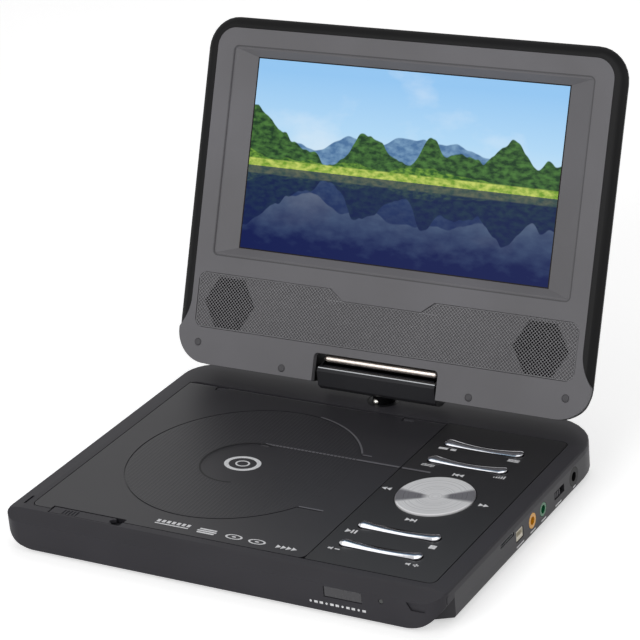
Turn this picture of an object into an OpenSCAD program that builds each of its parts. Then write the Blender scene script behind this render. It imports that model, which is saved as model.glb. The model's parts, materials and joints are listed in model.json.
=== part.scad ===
// Portable disc player with a swivelling 7-inch screen.
// Millimetres, +Z up. The origin is on the surface that the feet stand on, in the middle of the open player.

/* [Base] */
// Width of the base
base_w = 206; // [190:1:224]
// Depth of the base, front to back
base_d = 162; // [150:1:174]
// Height of the case without its feet
case_h = 14.7; // [14.4:0.1:18]
// How far the rubber feet stand proud
foot_h = 1.8; // [1.2:0.1:3]
// Wall of the base mouldings
wall = 1.7; // [1.4:0.1:2]
// Depth of the front fascia
nose_d = 8; // [7:0.5:8.4]
// Height of the upper case's skirt
skirt_h = 3.2; // [2.6:0.1:4]
// Corner radius at the back left, seen from above
rear_left_r = 15; // [12:1:20]
// Corner radius at the back right, seen from above
rear_right_r = 25; // [20:1:27]
// Corner radius at the front, seen from above
front_r = 9; // [7:0.5:12]
// Radius of the fascia's lower corners, seen from the front
chin_r = 18; // [17:0.5:20]

/* [Lid and controls] */
// Width of the control panel
panel_w = 57.2; // [55:0.2:60]
// Depth of the strip behind the lid that carries the screen
lid_rear = 22.3; // [22:0.1:24]
// Thickness of the disc lid
lid_t = 2; // [1.8:0.1:2.1]
// Open seam round the lid and the panel
seam = 0.4; // [0.3:0.05:0.6]
// Front seam's distance from the base's front
lid_front = 11.5; // [11:0.1:12]
// Rim left of the lid
lid_left = 9; // [8:0.5:10]
// Rim right of the control panel
panel_right = 8; // [7:0.5:10]
// Length of a rocker key
rocker_l = 36.5; // [32:0.5:38]
// Width of a rocker key at its ends
rocker_w = 5.4; // [4.8:0.1:6]
// Radius of the navigation disc
nav_r = 16.8; // [14:0.2:18]

/* [Disc drive] */
// Land between the disc well and the lid's edge
well_land = 1.8; // [1.6:0.1:3]
// Distance from the pickup's outer stop to the well's edge
pickup_stop = 6.3; // [6:0.1:12]
// Radius of the spindle motor
motor_r = 10.5; // [9:0.5:11.5]
// Teeth on the pinion that drives the rack
rack_teeth = 12; // [12:1:12]
// Tooth module of rack and pinion
rack_m = 0.8; // [0.8:0.1:0.8]

/* [Screen] */
// Width of the screen housing
screen_w = 206; // [200:1:216]
// Height of the screen housing
screen_h = 159.2; // [154:0.2:164]
// Thickness of the screen housing
screen_t = 18; // [17.4:0.1:18.4]
// Wall of the screen housing
shell = 1.6; // [1.4:0.1:2]
// Lean of the screen behind upright
tilt = 22.2; // [0:0.1:45]
// Width of the picture
picture_w = 154.2; // [150:0.2:156]
// Height of the picture
picture_h = 87; // [84:0.2:90]
// Height of the picture's middle above the tilt axis
picture_up = 93.2; // [91:0.2:95]

/* [Hinge] */
// Swivel axis's distance from the back of the base
swivel_in = 10.5; // [10.2:0.1:12]
// Tilt axis's height above the base's top
pivot_h = 10.3; // [10.3:0.1:12]
// Height of the tilt axis above the screen's lower edge
pivot_up = 5.2; // [5:0.1:5.6]
// Radius of the swivel post
post_r = 5; // [4:0.1:5.4]
// Radius of the tilt shaft
shaft_r = 2.5; // [2:0.1:2.8]
// Radius of the chrome barrel
barrel_r = 5.8; // [5.2:0.1:6]
// Length of the hinge block
block_w = 58.8; // [54:0.2:60]

/* [Hidden] */

$fn = 64;
hull_fn = 32;
big_fn = 720;       // for shallow arcs of a large radius
eps = 0.01;
cut = 1;           // how far a cutter passes a face
run = 0.05;        // radial clearance of a shaft in its bore
fit = 0.15;        // clearance of a fixed piece in its seat
loose = 0.35;      // clearance round a key or a slider

charcoal = "#2c2c2f";
side_grey = "#47464a";
panel_black = "#232326";
bezel_grey = "#6b6b6d";
shell_black = "#18181a";
chrome = "#d8d6d4";
steel = "#b9bbbe";
board_green = "#2f5a3c";

// Heights in the base
top_z = foot_h + case_h;
floor_z = foot_h + wall;
split_z = top_z - skirt_h;
lid_recess = lid_t + seam;
ledge_t = 1.6;
roof_t = 2.2;                      // top of the case beside lid and panel
ledge_z = top_z - lid_recess - ledge_t;
deck_t = 1.3;
deck_wall = 1.6;
deck_z = ledge_z - 1.3;            // upper face of the disc well
chassis_t = 1;
chassis_z = deck_z - deck_t - 0.5 - chassis_t;
board_t = 1.4;
board_z = floor_z + 1.5;
key_t = 1.2;
key_z = ledge_z - key_t;
port_z = board_z + board_t + 2.3;  // middle line of the sockets

// Places in the base
lid_side = base_w / 2 - lid_left;          // left edge of the lid
panel_side = base_w / 2 - panel_right;     // right edge of the panel
lid_w = lid_side + panel_side - panel_w - seam;
lid_d = base_d - lid_front - lid_rear;
lid_back = lid_front + lid_d;
lid_right = lid_w - lid_side;
lid_mid_x = lid_w / 2 - lid_side;
lid_mid_y = lid_front + lid_d / 2;
lid_r = 3;
disc_x = lid_mid_x - 0.7;
disc_y = lid_mid_y + 0.4;
hinge_y = lid_back - lid_t;
hinge_z = top_z - lid_t;
ear_w = 5;
ear_in = 17.7;                      // hinge ears' distance from the lid's ends
ear_x = [ear_in - lid_side, lid_right - ear_in];
lid_pin_r = 1;
panel_left = lid_right + seam;
panel_mid = (panel_left + panel_side) / 2;
panel_t = lid_recess - 0.1;
rail_in = 3.6;                     // width of the ledge that carries the panel
keys_x = panel_mid - 3;
key_x = [panel_left + 2, panel_side - 9];
nav_y = disc_y;
key_rear = 17.7;                   // outer keys' distance from the panel's ends
key_front = 16.5;
key_gap = 16;
rocker_y = [lid_back - key_rear, lid_back - key_rear - key_gap, lid_front + key_front + key_gap,
  lid_front + key_front];

// Latch in the front rim
latch_x = 10.6 - lid_side;
latch_l = 31;
latch_d = 5;
latch_travel = 4;
latch_y = lid_front + 2;           // inner edge of the latch tab
catch_x = [latch_x + 6, latch_x + 10];
catch_z = top_z - 4.2;
hook_x = [latch_x + 11, latch_x + 17];
hook_y = [latch_y + 0.4, latch_y + 2.6];

// Disc drive
well_r = min(lid_w, lid_d) / 2 - well_land;
spindle_r = 7.35;
disc_z = deck_z + 1;
pickup_in = 24;                    // radius of the pickup's rest place
pickup_travel = well_r - pickup_in - pickup_stop;
pickup_l = 16;
pickup_w = 31;
pickup_y = disc_y - pickup_in;
rod_gap = 34;
rod_r = 1.2;
rod_z = chassis_z - 0.4 - rod_r;
pickup_z = rod_z - rod_r - 0.2;
ear_out = rod_gap / 2 + 2;
pinion_r = rack_m * rack_teeth / 2;
rack_x = disc_x + ear_out + 2;     // pitch line of the rack
rack_h = 1.7;
gear_x = rack_x + pinion_r;
gear_y = disc_y - 28.5;
gear_pin_r = 1;
wheel_teeth = 36;
wheel_m = 0.5;
wheel_t = 1;
wheel_z = pickup_z - 0.3 - wheel_t;
motor_teeth = 10;
motor_x = gear_x + wheel_m * (wheel_teeth + motor_teeth) / 2;
sled_motor_r = 5.5;
sled_shaft_r = 0.6;
chassis_x = [disc_x - 32, motor_x + sled_motor_r + 1.2];
chassis_y = [nose_d + wall + 0.6, disc_y + motor_r + 3.5];
damper_r = 3.2;
damper_at = [for (x = chassis_x, y = chassis_y)
  [x + (x == chassis_x[0] ? 1 : -1) * (damper_r + 0.6), y + (y == chassis_y[0] ? 1 : -1) * (damper_r + 0.6)]];

// Sockets on the right side, from the back
dc_y = disc_y + 49.7;
switch_y = disc_y + 33.4;
phone_y = disc_y + 18.7;
av_y = disc_y + 8.2;
usb_y = disc_y - 4;
card_y = disc_y - 15.4;
switch_travel = 3;
switch_half = 3;
side_x = base_w / 2;
board_x = [chassis_x[1] + 4, side_x - wall - 1.6];
board_y = [nose_d + wall + 12, dc_y + 5.5];

// Screen, with its frame at the tilt axis
pivot_y = base_d - swivel_in;
pivot_z = top_z + pivot_h;
half_t = screen_t / 2;
screen_top = screen_h - pivot_up;
bezel_t = 3;
bezel_side = 5.6;
bezel_top = 4.9;
flare = [25, 9];                   // heights between which the bezel widens to the housing's edge
bezel_r = 9;
bezel_edge = 0.4;                  // housing's edge that shows beside the wide part of the bezel
screen_r = 15;
frame_w = screen_w - 2 * bezel_side - 18;   // outer edge of the sloped frame round the picture
frame_h = picture_h + 8;
frame_step = 0.5;                  // step round the sloped frame
notch_w = block_w + 3.2;
notch_up = 8;
grille_top = picture_up - 56.1;
grille_h = 25.2;
grille_w = screen_w - 2 * bezel_side - 5.8;
grille_t = 0.9;
grille_in = 0.7;                   // how far the grille lies behind the bezel's face
dip_w = [27, 19.6];                // half widths of the grille's dip under the picture
dip_h = 4.9;
speaker_x = grille_w / 2 - 16.9;
speaker_up = grille_top - grille_h / 2 - 0.5;
speaker_r = 12.4;
speaker_hex = 13.2;                // outer radius of the six-sided opening before a speaker
screw_r = 1.2;
screw_head_r = 2.3;
post_out = 2.6;
lcd_rim = 3;                       // display's edge behind the bezel
bracket_x = notch_w / 2 + shell;
bracket_t = 3;
bracket_r = 3.8;

// Depth behind the front face, inset of sides and top, inset of the lower edge
shell_form = [[0, 3.4, 3.4], [0.9, 1, 1], [2, 0, 0], [3, 0, 0], [screen_t - 6, 4.4, 0.6],
  [screen_t - 2.5, 7.5, 2.2], [screen_t - 0.6, 12, 4.5], [screen_t, 16, 8]];
cavity_form = [[bezel_t - eps, 6.6, 5.6], [screen_t - 6, 4.6 + shell, 0.8 + shell],
  [screen_t - 2.5 - shell * 0.6, 7.7 + shell, 2.6 + shell], [screen_t - shell, 14, 6.6]];

// Middle of the open player, front to back
rear_y = max([for (s = shell_form)
  pivot_y + (screen_top - s[1]) * sin(tilt) + (s[0] - half_t) * cos(tilt)]);
mid_y = rear_y / 2;

module in_frame() {
  translate([0, -mid_y, 0]) children();
}

module on_screen() {
  in_frame() translate([0, pivot_y, pivot_z]) rotate([-tilt, 0, 0]) children();
}

// Shared shapes

module round_rect(w, d, r) {
  square([w - 2 * r, d], center = true);
  square([w, d - 2 * r], center = true);
  for (x = [-1, 1], y = [-1, 1])
    translate([x * (w / 2 - r), y * (d / 2 - r)]) circle(r);
}

module plate(w, d, h, r) {
  linear_extrude(h) round_rect(w, d, r);
}

module span(x, y, z) {
  translate([x[0], y[0], z[0]]) cube([x[1] - x[0], y[1] - y[0], z[1] - z[0]]);
}

module rod_x(r, x0, x1) {
  translate([x0, 0, 0]) rotate([0, 90, 0]) cylinder(r = r, h = x1 - x0);
}

module rod_y(r, y0, y1) {
  translate([0, y0, 0]) rotate([-90, 0, 0]) cylinder(r = r, h = y1 - y0);
}

module ring(ro, ri, h) {
  difference() {
    cylinder(r = ro, h = h);
    translate([0, 0, -cut]) cylinder(r = ri, h = h + 2 * cut);
  }
}

function rear_r(side, inset) = max((side < 0 ? rear_left_r : rear_right_r) - inset, 1);

module base_outline(inset) {
  w = base_w - 2 * inset;
  d = base_d - 2 * inset;
  translate([0, base_d / 2]) {
    intersection() {
      round_rect(w, d, max(front_r - inset, 1));
      translate([-base_w / 2, -base_d / 2]) square([base_w, base_d / 2 + eps]);
    }
    for (side = [-1, 1])
      intersection() {
        round_rect(w, d, rear_r(side, inset));
        translate([side < 0 ? -base_w / 2 : -eps, 0]) square([base_w / 2 + eps, base_d / 2]);
      }
  }
}

// A smooth body through outlines that step in: height, inset
module base_loft(steps) {
  hull()
    for (s = steps)
      translate([0, 0, s[0]]) linear_extrude(eps) base_outline(s[1], $fn = hull_fn);
}

// A smooth body through rounded outlines of the screen housing
module screen_loft(steps) {
  hull()
    for (s = steps) {
      h = screen_h - s[1] - s[2];
      translate([0, s[0] - half_t, screen_top - s[1] - h / 2]) rotate([90, 0, 0])
        linear_extrude(eps, center = true)
          round_rect(screen_w - 2 * s[1], h, max(screen_r - s[1], 4), $fn = hull_fn);
    }
}

function involute(a) = tan(a) * 180 / PI - a;

// Half the angle that a tooth takes up at radius r
function tooth_half(r, n, m, slack) =
  let (rb = n * m / 2 * cos(20), rr = max(r, rb))
  90 / n - slack / (n * m) * 180 / PI + involute(20) - involute(acos(rb / rr));

module gear_outline(n, m, slack = 0.25) {
  root = n * m / 2 - 1.15 * m;
  tip = n * m / 2 + 0.85 * m;
  radii = [root, for (k = [0:4]) let (low = max(root + 0.1, n * m / 2 * cos(20))) low + (tip - low) * k / 4];
  polygon([for (i = [0:n - 1]) each concat(
    [for (r = radii) let (a = i * 360 / n - tooth_half(r, n, m, slack)) [r * cos(a), r * sin(a)]],
    [for (k = [len(radii) - 1:-1:0])
      let (r = radii[k], a = i * 360 / n + tooth_half(r, n, m, slack)) [r * cos(a), r * sin(a)]])]);
}

// One rack tooth that points along +X, with its pitch line on the Y axis
module rack_tooth(m, slack = 0.25) {
  low = 1.1 * m;
  high = 0.85 * m;
  half = PI * m / 4 - slack / 2;
  polygon([[-low, -half - low * tan(20)], [high, -half + high * tan(20)],
    [high, half - high * tan(20)], [-low, half + low * tan(20)]]);
}

module screw(length) {
  cylinder(r = screw_r, h = length);
  difference() {
    translate([0, 0, -1.4]) cylinder(r = screw_head_r, h = 1.4);
    for (a = [0, 90])
      rotate(a) translate([-1.4, -0.3, -1.4 - eps]) cube([2.8, 0.6, 0.7]);
  }
}

foot_at = [for (x = [-1, 1], y = [24, base_d - 14]) [x * (base_w / 2 - 20), y]];
case_screw_at = [for (x = [-1, 1], y = [16, base_d - 20]) [x * (base_w / 2 - 9), y]];
screw_seat = foot_h + 2;
boss_r = 3.4;
boss_z = split_z - 1.6;            // where lower and upper screw bosses meet
foot_r = 5.5;
foot_in = 0.8;

// Base mouldings

tub_cut = [8, 5];                  // slanted corners of the lower case behind the fascia

// Corners of the lower case's plan: slanted at the fascia, round at the back
module tub_corners(front, inset) {
  x = base_w / 2 - inset;
  polygon([[-x, front + tub_cut[1]], [-x + tub_cut[0], front], [x - tub_cut[0], front],
    [x, front + tub_cut[1]]]);
  for (side = [-1, 1])
    let (r = rear_r(side, inset))
      translate([side * (x - r), base_d - inset - r]) circle(r);
}

module bottom_body(inset, low, high) {
  hull()
    for (s = [[low, 2.4], [low + 0.5, 0.6], [low + 1.6, 0], [high, 0]])
      translate([0, 0, s[0]]) linear_extrude(eps) tub_corners(nose_d + inset, inset + s[1], $fn = hull_fn);
}

module socket_cut(y, r) {
  translate([side_x - wall - cut, y, port_z]) rod_x(r, 0, wall + 2 * cut);
}

module bottom_case() color(side_grey) in_frame() {
  difference() {
    union() {
      difference() {
        bottom_body(0, foot_h, split_z - eps);
        bottom_body(wall, floor_z, split_z + cut);
      }
      for (p = case_screw_at)
        translate([p[0], p[1], floor_z - eps]) cylinder(r = boss_r, h = boss_z - floor_z + eps);
      for (x = [board_x[0] + 5, board_x[1] - 9], y = [board_y[0] + 5, board_y[1] - 5])
        translate([x, y, floor_z - eps]) cylinder(r = 2.4, h = board_z - floor_z + eps);
    }
    for (p = foot_at)
      translate([p[0], p[1], foot_h - cut]) cylinder(r = foot_r + fit, h = cut + foot_in);
    for (p = case_screw_at)
      translate([p[0], p[1], 0]) {
        cylinder(r = screw_head_r + 0.4, h = screw_seat);
        cylinder(r = screw_r + run, h = top_z);
      }
    socket_cut(dc_y, 4.1 + fit);
    socket_cut(phone_y, 3 + fit);
    socket_cut(av_y, 3.3 + fit);
    span([side_x - wall - cut, side_x + cut], [usb_y - 3.4, usb_y + 3.4], [port_z - 2.5, port_z + 2.5]);
    span([side_x - wall - cut, side_x + cut], [card_y - 6.2, card_y + 6.2], [port_z + 2.2, port_z + 3.9]);
    span([side_x - wall - cut, side_x + cut],
      [switch_y - switch_half - loose, switch_y + switch_half + switch_travel + loose],
      [port_z - 1.4 - loose, port_z + 1.4 + loose]);
    for (k = [0:11])
      span([-50 + k * 6, -47 + k * 6], [base_d - 32, base_d - 20], [0, floor_z + eps]);
  }
}

chin_w = 16;                       // where a lower corner's curve begins, from the side

// Front view of the fascia, with swept lower corners
module nose_outline(inset) {
  x = base_w / 2 - inset;
  low = foot_h + inset;
  arc_x = base_w / 2 - chin_w;
  intersection() {
    translate([-x, low]) square([2 * x, top_z - low]);
    union() {
      translate([-arc_x, low]) square([2 * arc_x, top_z - low]);
      for (s = [-1, 1])
        translate([s * arc_x, foot_h + chin_r]) circle(chin_r - inset);
    }
  }
}

module nose_body(inset, back) {
  intersection() {
    linear_extrude(top_z - 1.5) base_outline(inset);
    translate([0, back, 0]) rotate([90, 0, 0]) linear_extrude(back) nose_outline(inset);
  }
}

// Ends of the fascia that fill the lower case's slanted corners
module nose_ends() {
  x = base_w / 2;
  deep = nose_d + tub_cut[1];
  intersection() {
    translate([0, deep, 0]) rotate([90, 0, 0]) linear_extrude(deep) nose_outline(0);
    linear_extrude(split_z + 1)
      for (s = [-1, 1])
        polygon([[s * (x - tub_cut[0]), nose_d - 1], [s * x, nose_d - 1], [s * x, deep - run],
          [s * (x - tub_cut[0]), nose_d - run]]);
  }
}

ir_x = side_x - 42.3;
ir_z = top_z - 5.8;
ir_w = 17;
ir_h = 4.7;
led_x = side_x - 25.3;
led_r = 0.9;
bush_r = post_r + 1.6;
bush_flange = bush_r + 0.8;
bush_l = 8;
strap_x = [side_x - 14.4, side_x - 5.6];      // recess near the fascia's right end

// Height and inset of the rounded rim
rim_form = [[split_z, 0], [top_z - 1, 0], [top_z - 0.4, 0.5], [top_z - eps, 6]];
slope = [7.6, 2.6];                // depth and drop of the slope down to the fascia
slot_x = [-lid_side - 4.4, -lid_side - 3.2];  // short slot beside the lid's front corner

module top_case() color(charcoal) in_frame() {
  difference() {
    union() {
      difference() {
        base_loft(rim_form);
        base_loft([[split_z - cut, wall], [top_z - roof_t, wall]]);
      }
      difference() {
        intersection() {
          span([-lid_side - seam - wall, panel_side + seam + wall],
            [nose_d + wall + fit, lid_back + seam + 2], [ledge_z, top_z - 1]);
          base_loft([[split_z - cut, wall / 2], [split_z + 1, wall / 2], [top_z - 0.5, 6]]);
        }
        // Room for the lower case's slanted corners
        linear_extrude(split_z + fit)
          for (s = [-1, 1])
            polygon([[s * (side_x - tub_cut[0] - wall - 3), nose_d], [s * side_x, nose_d],
              [s * side_x, nose_d + tub_cut[1] + wall + 2.5]]);
      }
      span([-lid_side + 4, lid_right], [hinge_y - 4, hinge_y + 4], [hinge_z - lid_t - 1.6, ledge_z + eps]);
      difference() {
        nose_body(0, nose_d);
        difference() {
          nose_body(wall, nose_d + cut);
          span([-base_w, base_w], [-cut, base_d], [ledge_z - eps, top_z]);
        }
      }
      nose_ends();
      translate([0, pivot_y, top_z - bush_l]) cylinder(r = bush_r + 1.5, h = bush_l - 1);
      for (p = case_screw_at)
        translate([p[0], p[1], boss_z]) cylinder(r = boss_r - 1, h = top_z - roof_t - boss_z + eps);
    }
    // Lid and panel lie in one recess
    translate([(panel_side - lid_side) / 2, lid_mid_y, ledge_z + ledge_t])
      plate(lid_side + panel_side + 2 * seam, lid_d + 2 * seam, lid_recess + cut, lid_r + seam);
    translate([disc_x, disc_y, ledge_z - cut]) cylinder(r = well_r, h = ledge_t + 2 * cut);
    translate([disc_x, disc_y, ledge_z - deck_z]) cylinder(r = well_r + deck_wall + fit, h = deck_z);
    span([panel_left + rail_in, panel_side - rail_in], [lid_front + rail_in, lid_back - rail_in],
      [ledge_z - cut, top_z]);
    // Hinge trough behind the lid
    translate([0, hinge_y, hinge_z]) rod_x(lid_t + loose, -lid_side - seam, lid_right + seam);
    // Slot for the latch tab and its catch
    span([latch_x - loose, latch_x + latch_l + latch_travel + loose],
      [latch_y - latch_d - loose, latch_y + loose], [top_z - 2.3, top_z + cut]);
    span([catch_x[0] - loose, hook_x[1] + loose], [latch_y - 3 - loose, hook_y[1] + loose],
      [ledge_z - cut, top_z]);
    translate([0, pivot_y, top_z - bush_l - cut]) cylinder(r = bush_r + fit, h = bush_l + 2 * cut);
    translate([0, pivot_y, top_z - 1 - fit]) cylinder(r = bush_flange + fit, h = 2 * cut);
    span([ir_x - ir_w / 2, ir_x + ir_w / 2], [-cut, wall + cut], [ir_z - ir_h / 2, ir_z + ir_h / 2]);
    translate([led_x, 0, ir_z + 0.6]) rod_y(led_r + fit, -cut, wall + cut);
    translate([0, 0.8, 0]) rotate([90, 0, 0]) linear_extrude(cut + 0.8)
      polygon([[strap_x[0], top_z - 3.2], [strap_x[0] + 2, top_z - 6.6], [strap_x[1] - 1, top_z - 6.6],
        [strap_x[1], top_z - 3.2]]);
    // Slope from the top down to the fascia
    translate([-base_w, 0, 0]) rotate([90, 0, 90]) linear_extrude(2 * base_w)
      polygon([[-cut, top_z - slope[1] * (1 + cut / slope[0])], [slope[0], top_z],
        [slope[0], top_z + cut], [-cut, top_z + cut]]);
    span(slot_x, [lid_front, lid_front + 7], [top_z - 0.8, top_z + cut]);
    for (p = case_screw_at)
      translate([p[0], p[1], floor_z]) cylinder(r = screw_r + run, h = split_z - floor_z + 0.6);
  }
  // Ears that carry the lid's hinge pins
  for (x = ear_x)
    difference() {
      union() {
        translate([x, hinge_y, hinge_z]) rod_x(lid_t - 0.2, -ear_w / 2, ear_w / 2);
        span([x - ear_w / 2, x + ear_w / 2], [hinge_y - lid_t + 0.2, hinge_y + lid_t - 0.2],
          [hinge_z - lid_t - 1.2, hinge_z]);
      }
      translate([x, hinge_y, hinge_z]) rod_x(lid_pin_r + run, -ear_w, ear_w);
    }
}

// Control panel and keys

rocker_t = 3.3;
rocker_proud = 0.7;
rocker_axis_z = ledge_z + 0.9;
rocker_pin_r = 0.7;
rocker_low = top_z + rocker_proud - rocker_t;
rocker_waist = 0.9;
rocker_ear = rocker_w / 2 - rocker_waist + loose + 0.6;   // middle of an ear beside the key
rocker_push = 13;                  // where a key presses its switch

module rocker_outline(extra) {
  waist_r = (pow(rocker_l * 0.42, 2) + pow(rocker_waist, 2)) / (2 * rocker_waist);
  difference() {
    round_rect(rocker_l + 2 * extra, rocker_w + 2 * extra, rocker_w / 2 - 0.2 + extra);
    for (y = [-1, 1])
      translate([0, y * (rocker_w / 2 + waist_r - rocker_waist)]) circle(waist_r - extra, $fn = big_fn);
  }
}

module rocker(y) color(chrome) in_frame() translate([keys_x, y, 0]) {
  dish_r = 150;
  difference() {
    translate([0, 0, rocker_low]) linear_extrude(rocker_t) rocker_outline(0);
    translate([0, 0, top_z + rocker_proud + dish_r - 0.9]) rod_y(dish_r, -rocker_w, rocker_w, $fn = big_fn);
  }
  span([-1.6, 1.6], [-1.3, 1.3], [rocker_axis_z - rocker_pin_r - run, rocker_low + eps]);
  translate([0, 0, rocker_axis_z]) rod_y(rocker_pin_r, -rocker_ear - 0.65, rocker_ear + 0.65);
  for (x = [-1, 1])
    translate([x * rocker_push, 0, ledge_z + 0.85]) cylinder(r = 1.2, h = rocker_low - ledge_z - 0.85 + eps);
}

module menu_rocker() rocker(rocker_y[0]);
module search_rocker() rocker(rocker_y[1]);
module play_rocker() rocker(rocker_y[2]);
module volume_rocker() rocker(rocker_y[3]);

groove_w = 0.6;
groove_d = 0.3;
ring_r = well_r - 11.6;
hub_r = 18.2;
dish_d = 0.6;                      // depth of the dish in the lid's hub
dish_edge = 1.4;
ridge_y = disc_y + hub_r;

module control_panel() color(panel_black) in_frame() {
  difference() {
    translate([panel_mid, lid_mid_y, top_z - panel_t]) plate(panel_w, lid_d, panel_t, 0.6);
    for (y = rocker_y)
      translate([keys_x, y, top_z - panel_t - cut]) linear_extrude(panel_t + 2 * cut) rocker_outline(loose);
    translate([keys_x, nav_y, top_z - panel_t - cut]) cylinder(r = nav_r + loose, h = panel_t + 2 * cut);
    span([panel_left - cut, keys_x - nav_r * 0.7], [ridge_y - groove_w / 2, ridge_y + groove_w / 2],
      [top_z - groove_d, top_z + cut]);
    // Rounded corners beside the right rim
    for (s = [-1, 1])
      translate([panel_side, lid_mid_y + s * lid_d / 2, 0]) difference() {
        translate([0, 0, top_z]) cube([2 * lid_r, 2 * lid_r, 3 * panel_t], center = true);
        translate([-lid_r, -s * lid_r, 0]) cylinder(r = lid_r, h = top_z + panel_t);
      }
  }
  // Ears that carry the rockers' stub axles
  for (y = rocker_y, s = [-1, 1])
    difference() {
      span([keys_x - 1.7, keys_x + 1.7], [y + s * rocker_ear - 0.6, y + s * rocker_ear + 0.6],
        [ledge_z, top_z - panel_t + eps]);
      translate([keys_x, y, rocker_axis_z]) rod_y(rocker_pin_r + run, s * rocker_ear - 1, s * rocker_ear + 1);
    }
}

nav_axis_z = key_z + key_t + 1.1;
nav_pin_r = 0.6;
nav_low = top_z - 1.5;
nav_proud = 0.8;
nav_post = 4.6;

module nav_pivot() color(steel) in_frame() translate([keys_x, nav_y, nav_axis_z]) {
  cube(3 * nav_pin_r, center = true);
  for (a = [0:90:270])
    rotate(a) rod_x(nav_pin_r, nav_pin_r + run, nav_post + 0.6);
}

module nav_disc() color(chrome) in_frame() translate([keys_x, nav_y, 0]) {
  rotate_extrude() polygon([[0, nav_low], [nav_r - 0.3, nav_low], [nav_r, nav_low + 0.3],
    [nav_r, top_z + nav_proud - 0.5], [nav_r - 0.6, top_z + nav_proud], [nav_r - 1.4, top_z + nav_proud],
    [4.2, top_z + nav_proud - 0.5], [0, top_z + nav_proud - 0.5]]);
  for (s = [-1, 1])
    difference() {
      span([-1.3, 1.3], [s * nav_post - 0.6, s * nav_post + 0.6], [nav_axis_z - 0.75, nav_low + eps]);
      translate([0, 0, nav_axis_z]) rod_y(nav_pin_r + run, s * nav_post - 2, s * nav_post + 2);
    }
}

module key_board() color(board_green) in_frame() {
  span(key_x, [lid_front + 2, lid_back - 2], [key_z, key_z + key_t]);
  for (y = rocker_y, x = [-1, 1])
    translate([keys_x + x * rocker_push, y, key_z + key_t - eps]) cylinder(r = 1.6, h = 0.25);
  for (a = [0:90:270])
    translate([keys_x, nav_y, key_z + key_t - eps]) rotate(a)
      translate([12, 0, 0]) cylinder(r = 1.8, h = 0.4);
  translate([keys_x, nav_y, 0])
    for (s = [-1, 1])
      difference() {
        span([s * nav_post - 0.6, s * nav_post + 0.6], [-1.3, 1.3], [key_z + key_t - eps, nav_axis_z + 0.95]);
        translate([0, 0, nav_axis_z]) rod_x(nav_pin_r + run, s * nav_post - 2, s * nav_post + 2);
      }
}

// Disc lid and its latch

module lid_grooves() {
  translate([disc_x, disc_y, top_z - groove_d]) {
    difference() {
      ring(ring_r + groove_w / 2, ring_r - groove_w / 2, groove_d + cut);
      translate([0, 0, -cut]) linear_extrude(3 * cut)
        polygon([[0, 0], 80 * [cos(-33), sin(-33)], [80, 0], 80 * [cos(27), sin(27)]]);
    }
    translate([0, 0, groove_d]) rotate_extrude()
      polygon([[0, -dish_d], [hub_r - dish_edge, -dish_d], [hub_r, 0], [hub_r, cut], [0, cut]]);
    span([0, 80], [hub_r - groove_w / 2, hub_r + groove_w / 2], [0, groove_d + cut]);
    for (e = [[27, 5], [-33, 12]])
      translate([ring_r * cos(e[0]), ring_r * sin(e[0]), 0])
        translate([0, -groove_w / 2, 0]) cube([e[1], groove_w, groove_d + cut]);
  }
}

module disc_lid() color(charcoal) in_frame() {
  difference() {
    union() {
      intersection() {
        translate([lid_mid_x, lid_mid_y, top_z - lid_t]) plate(lid_w, lid_d, lid_t, lid_r);
        span([-base_w, base_w], [0, hinge_y], [0, top_z]);
      }
      translate([0, hinge_y, hinge_z]) rod_x(lid_t, -lid_side, lid_right);
      // Stiffening rings on the underside
      translate([disc_x, disc_y, top_z - lid_t - 0.3]) ring(hub_r, hub_r - 1.2, 0.3 + eps);
      // Hook that the latch's catch slides over
      span(hook_x, [hook_y[1] - 1, hook_y[1]], [catch_z - 1.6, top_z - lid_t + eps]);
      span(hook_x, hook_y, [catch_z - 1.6, catch_z - 0.4]);
    }
    for (x = ear_x)
      span([x - ear_w / 2 - loose, x + ear_w / 2 + loose], [hinge_y - lid_t - loose, hinge_y + lid_t + cut],
        [hinge_z - lid_t - cut, top_z + cut]);
    for (x = ear_x)
      translate([x, hinge_y, hinge_z]) rod_x(lid_pin_r + run, -ear_w * 1.8, ear_w * 1.8);
    span([latch_x - 2 * loose, latch_x + latch_l + latch_travel + 2 * loose], [0, latch_y + seam],
      [top_z - lid_t - eps, top_z + cut]);
    lid_grooves();
  }
}

module lid_hinge_pins() color(steel) in_frame()
  for (x = ear_x)
    translate([x, hinge_y, hinge_z]) rod_x(lid_pin_r, -ear_w * 1.7, ear_w * 1.7);

module open_latch() color(charcoal) in_frame() {
  difference() {
    span([latch_x, latch_x + latch_l], [latch_y - latch_d, latch_y], [top_z - 2.1, top_z - 0.1]);
    for (k = [0:4])
      span([latch_x + 6 + k * 1.6, latch_x + 6.7 + k * 1.6], [latch_y - latch_d + 0.6, latch_y - 0.9],
        [top_z - 0.5, top_z + cut]);
    translate([latch_x + latch_l, latch_y - latch_d / 2, top_z - 2.1 - cut]) cylinder(r = 1.7, h = 3 + cut);
  }
  // Catch for the lid's hook
  span(catch_x, [latch_y - 3, latch_y - 1], [catch_z, top_z - 2.1 + eps]);
  span(catch_x, [latch_y - 3, hook_y[0] + 0.8], [catch_z, catch_z + 1]);
}

// Disc drive

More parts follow.
